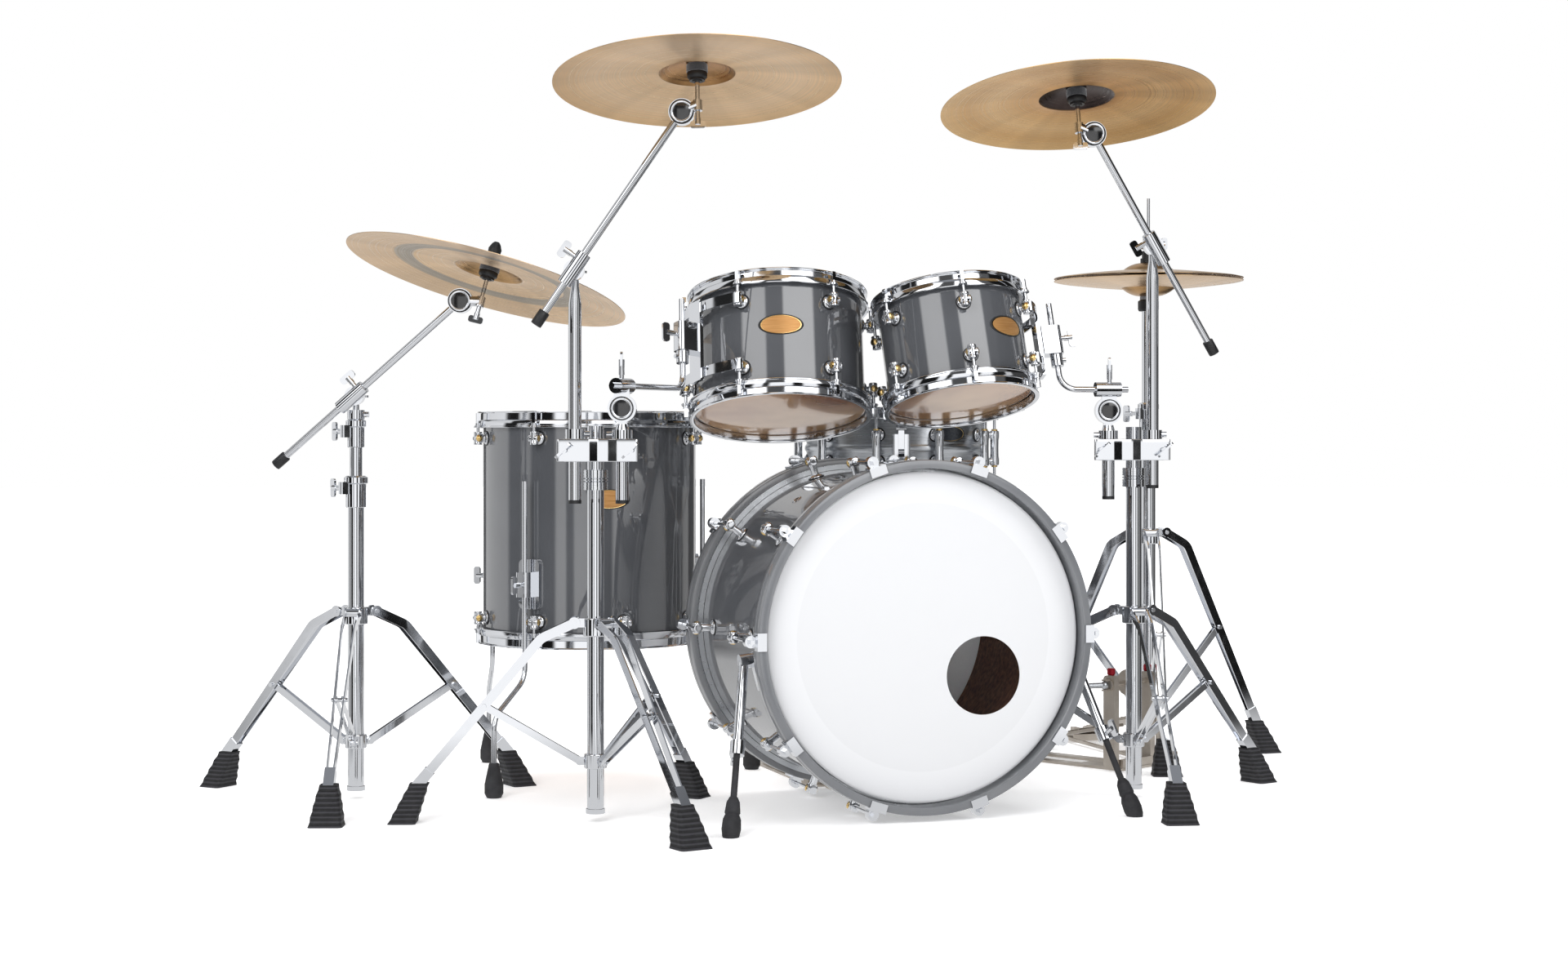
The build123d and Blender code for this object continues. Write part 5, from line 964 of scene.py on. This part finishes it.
# Polished skins of the stands' tubes: place, then radius and heights of each tube in millimetres.
TUBES = ((COLUMNS["ride_stand_base"], 14.34, 22.2, 523), (COLUMNS["ride_stand_base"], 11.14, 580, 631),
         (COLUMNS["right_stand_base"], 14.34, 22.2, 661.5),
         (COLUMNS["left_stand_base"], 14.34, 22.2, 661.5),
         (SNARE_COLUMN, 14.34, 22.2, 392), (SNARE_COLUMN, 11.14, 440, 450),
         (HIHAT_COLUMN, 14.34, 80, 664), (HIHAT_COLUMN, 12.79, 720, 905))
skins = [tube("tube", [(radius, low), (radius, high)], Matrix.Translation((x, y, 0)), CHROME)
         for (x, y), radius, low, high in TUBES]
RIB, RIB_PITCH, LOCK_LOW = ((18.4, 0.0), (20.8, 0.8), (20.8, 3.0), (18.4, 3.9)), 4.9, 560.2
RIBS = [(r, LOCK_LOW + RIB_PITCH * i + z) for i in range(7) for r, z in RIB]
for stand in ("right_stand_base", "left_stand_base"):
    x, y = COLUMNS[stand]
    skins.append(tube("memory_lock", RIBS, Matrix.Translation((x, y, 0)), CHROME, 48))
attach(join("stand_tube_skins", skins), "kit")

# Polished front of each cast clamp bar, dished between the pole and the tom post: its ends, where
# its two sloping walls start and end, and the walls' angles.
for stand, ends, walls, slopes in (("right_stand_base", (-60, 76), (-6, 9, 25, 41), (13.3, 6.1)),
                                   ("left_stand_base", (-80, 56), (-45, -30, -12, 4), (7.1, 12.3))):
    left_end, right_end = ends
    fall, climb = (sin(radians(turn)) / cos(radians(turn)) for turn in slopes)
    bpy.ops.object.select_all(action="DESELECT")
    bpy.ops.mesh.primitive_grid_add(x_subdivisions=68, y_subdivisions=1, size=1.0)
    bar = bpy.context.object
    bar.name = stand.replace("stand_base", "clamp_front")
    for vertex in bar.data.vertices:
        x = left_end + (vertex.co.x + 0.5) * (right_end - left_end)
        deep = fall * (min(max(x, walls[0]), walls[1]) - walls[0])
        back = climb * (min(max(x, walls[2]), walls[3]) - walls[2])
        corner = max(0.0, 3.0 - min(x - left_end, right_end - x)) / 3.0
        y = -68.0 + deep - back + 2.0 * corner ** 2
        vertex.co = (x / 1000, y / 1000, 0.627 + vertex.co.y * 0.0372)
    thick = bar.modifiers.new("thick", "SOLIDIFY")
    thick.thickness, thick.offset = 0.0035, -1.0
    edge = bar.modifiers.new("edge", "BEVEL")
    edge.width, edge.segments, edge.angle_limit = 0.0009, 3, radians(60)
    for change in (thick.name, edge.name):
        bpy.ops.object.modifier_apply(modifier=change)
    bpy.ops.object.shade_smooth_by_angle(angle=radians(35))
    x, y = COLUMNS[stand]
    bar.data.transform(Matrix.Translation((x, y, 0)) @ Matrix.Rotation(-VIEW_TURN, 4, "Z"))
    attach(paint(bar, CHROME), "kit")

# The grips are the only solids of the snare's stand between these sizes.
RUBBER_LEAST, RUBBER_MOST = 0.017, 0.032
dress("snare_stand", [CHROME, RUBBER],
      lambda low, high: 1 if max(high - low) < RUBBER_MOST and min(high - low) > RUBBER_LEAST else 0)
dress("stand_feet", [RIBBED])

# ----------------------------------------
# Hi-hat stand and the pedals: chromed rod and column, champagne grey castings and footboards, red
# anodised knobs, and felt faced beaters.
# ----------------------------------------

# Die casting in champagne paint: warm grey with a fine metallic satin.
CAST, tree, shader = look("champagne_casting", "#b9b0a6", 0.34, 0.85)
mottle(tree, shader, grain(tree, 18.0), (0.3, "#aea59b"), (0.7, "#c3bbb1"))
gloss(tree, shader, grain(tree, 45.0), 0.28, 0.42)
relief(tree, shader, grain(tree, 700.0), 0.0002, 0.3)

# Anodised aluminium: dark red with a metallic sheen.
RED, tree, shader = look("red_anodised", "#8e1020", 0.25, 0.6)
gloss(tree, shader, grain(tree, 70.0), 0.20, 0.34)

CASTINGS_TOP = 0.12
dress("hihat_stand_base", [CHROME, CAST, BLACK_PLASTIC, GREY_FELT],
      lambda low, high: 1 if high.z < CASTINGS_TOP else 0)
# The moulded seat under the lower cymbal and the grey felt that it carries.
SEAT_HEIGHT, FELT_HEIGHT, TUBE_RADIUS = 0.0302, 0.0072, 0.0135
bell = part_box("hihat_bottom_cymbal")[0].z
for face in frame["nodes"]["hihat_stand_base"].data.polygons:
    if face.center.z > bell - SEAT_HEIGHT and from_column(face.center, HIHAT_COLUMN) > TUBE_RADIUS:
        face.material_index = 3 if face.center.z > bell - FELT_HEIGHT else 2


ROD_LEAST, WASHER_MOST, KNOB_MOST = 0.04, 0.012, 0.03


def pull_rod_look(low, high):
    """Felt for the thin washers, moulded plastic for the knob, and chrome for the rest."""
    size = high - low
    return 0 if max(size) > ROD_LEAST else 1 if size.z < WASHER_MOST else 2


dress("hihat_pull_rod", [CHROME, FELT, BLACK_PLASTIC], pull_rod_look)
dress("hihat_footboard", [CAST])
dress("pedal_frames", [CAST, RED], lambda low, high: 1 if max(high - low) < KNOB_MOST else 0)
for name in ("pedal_board", "slave_board", "slave_cam"):
    dress(name, [CAST])
dress("drive_shaft", [STEEL])
FELT_NEAR, FELT_FAR = 0.1315, 0.1735    # nearest and farthest felt from the axle
for name in ("main_beater", "slave_beater"):
    axle = Vector(joints[name + "_swing"]["pos_m"])
    dress(name, [CHROME, GREY_FELT],
          by_face=lambda spot: 1 if FELT_NEAR < (spot - axle).yz.length < FELT_FAR else 0)

low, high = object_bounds()
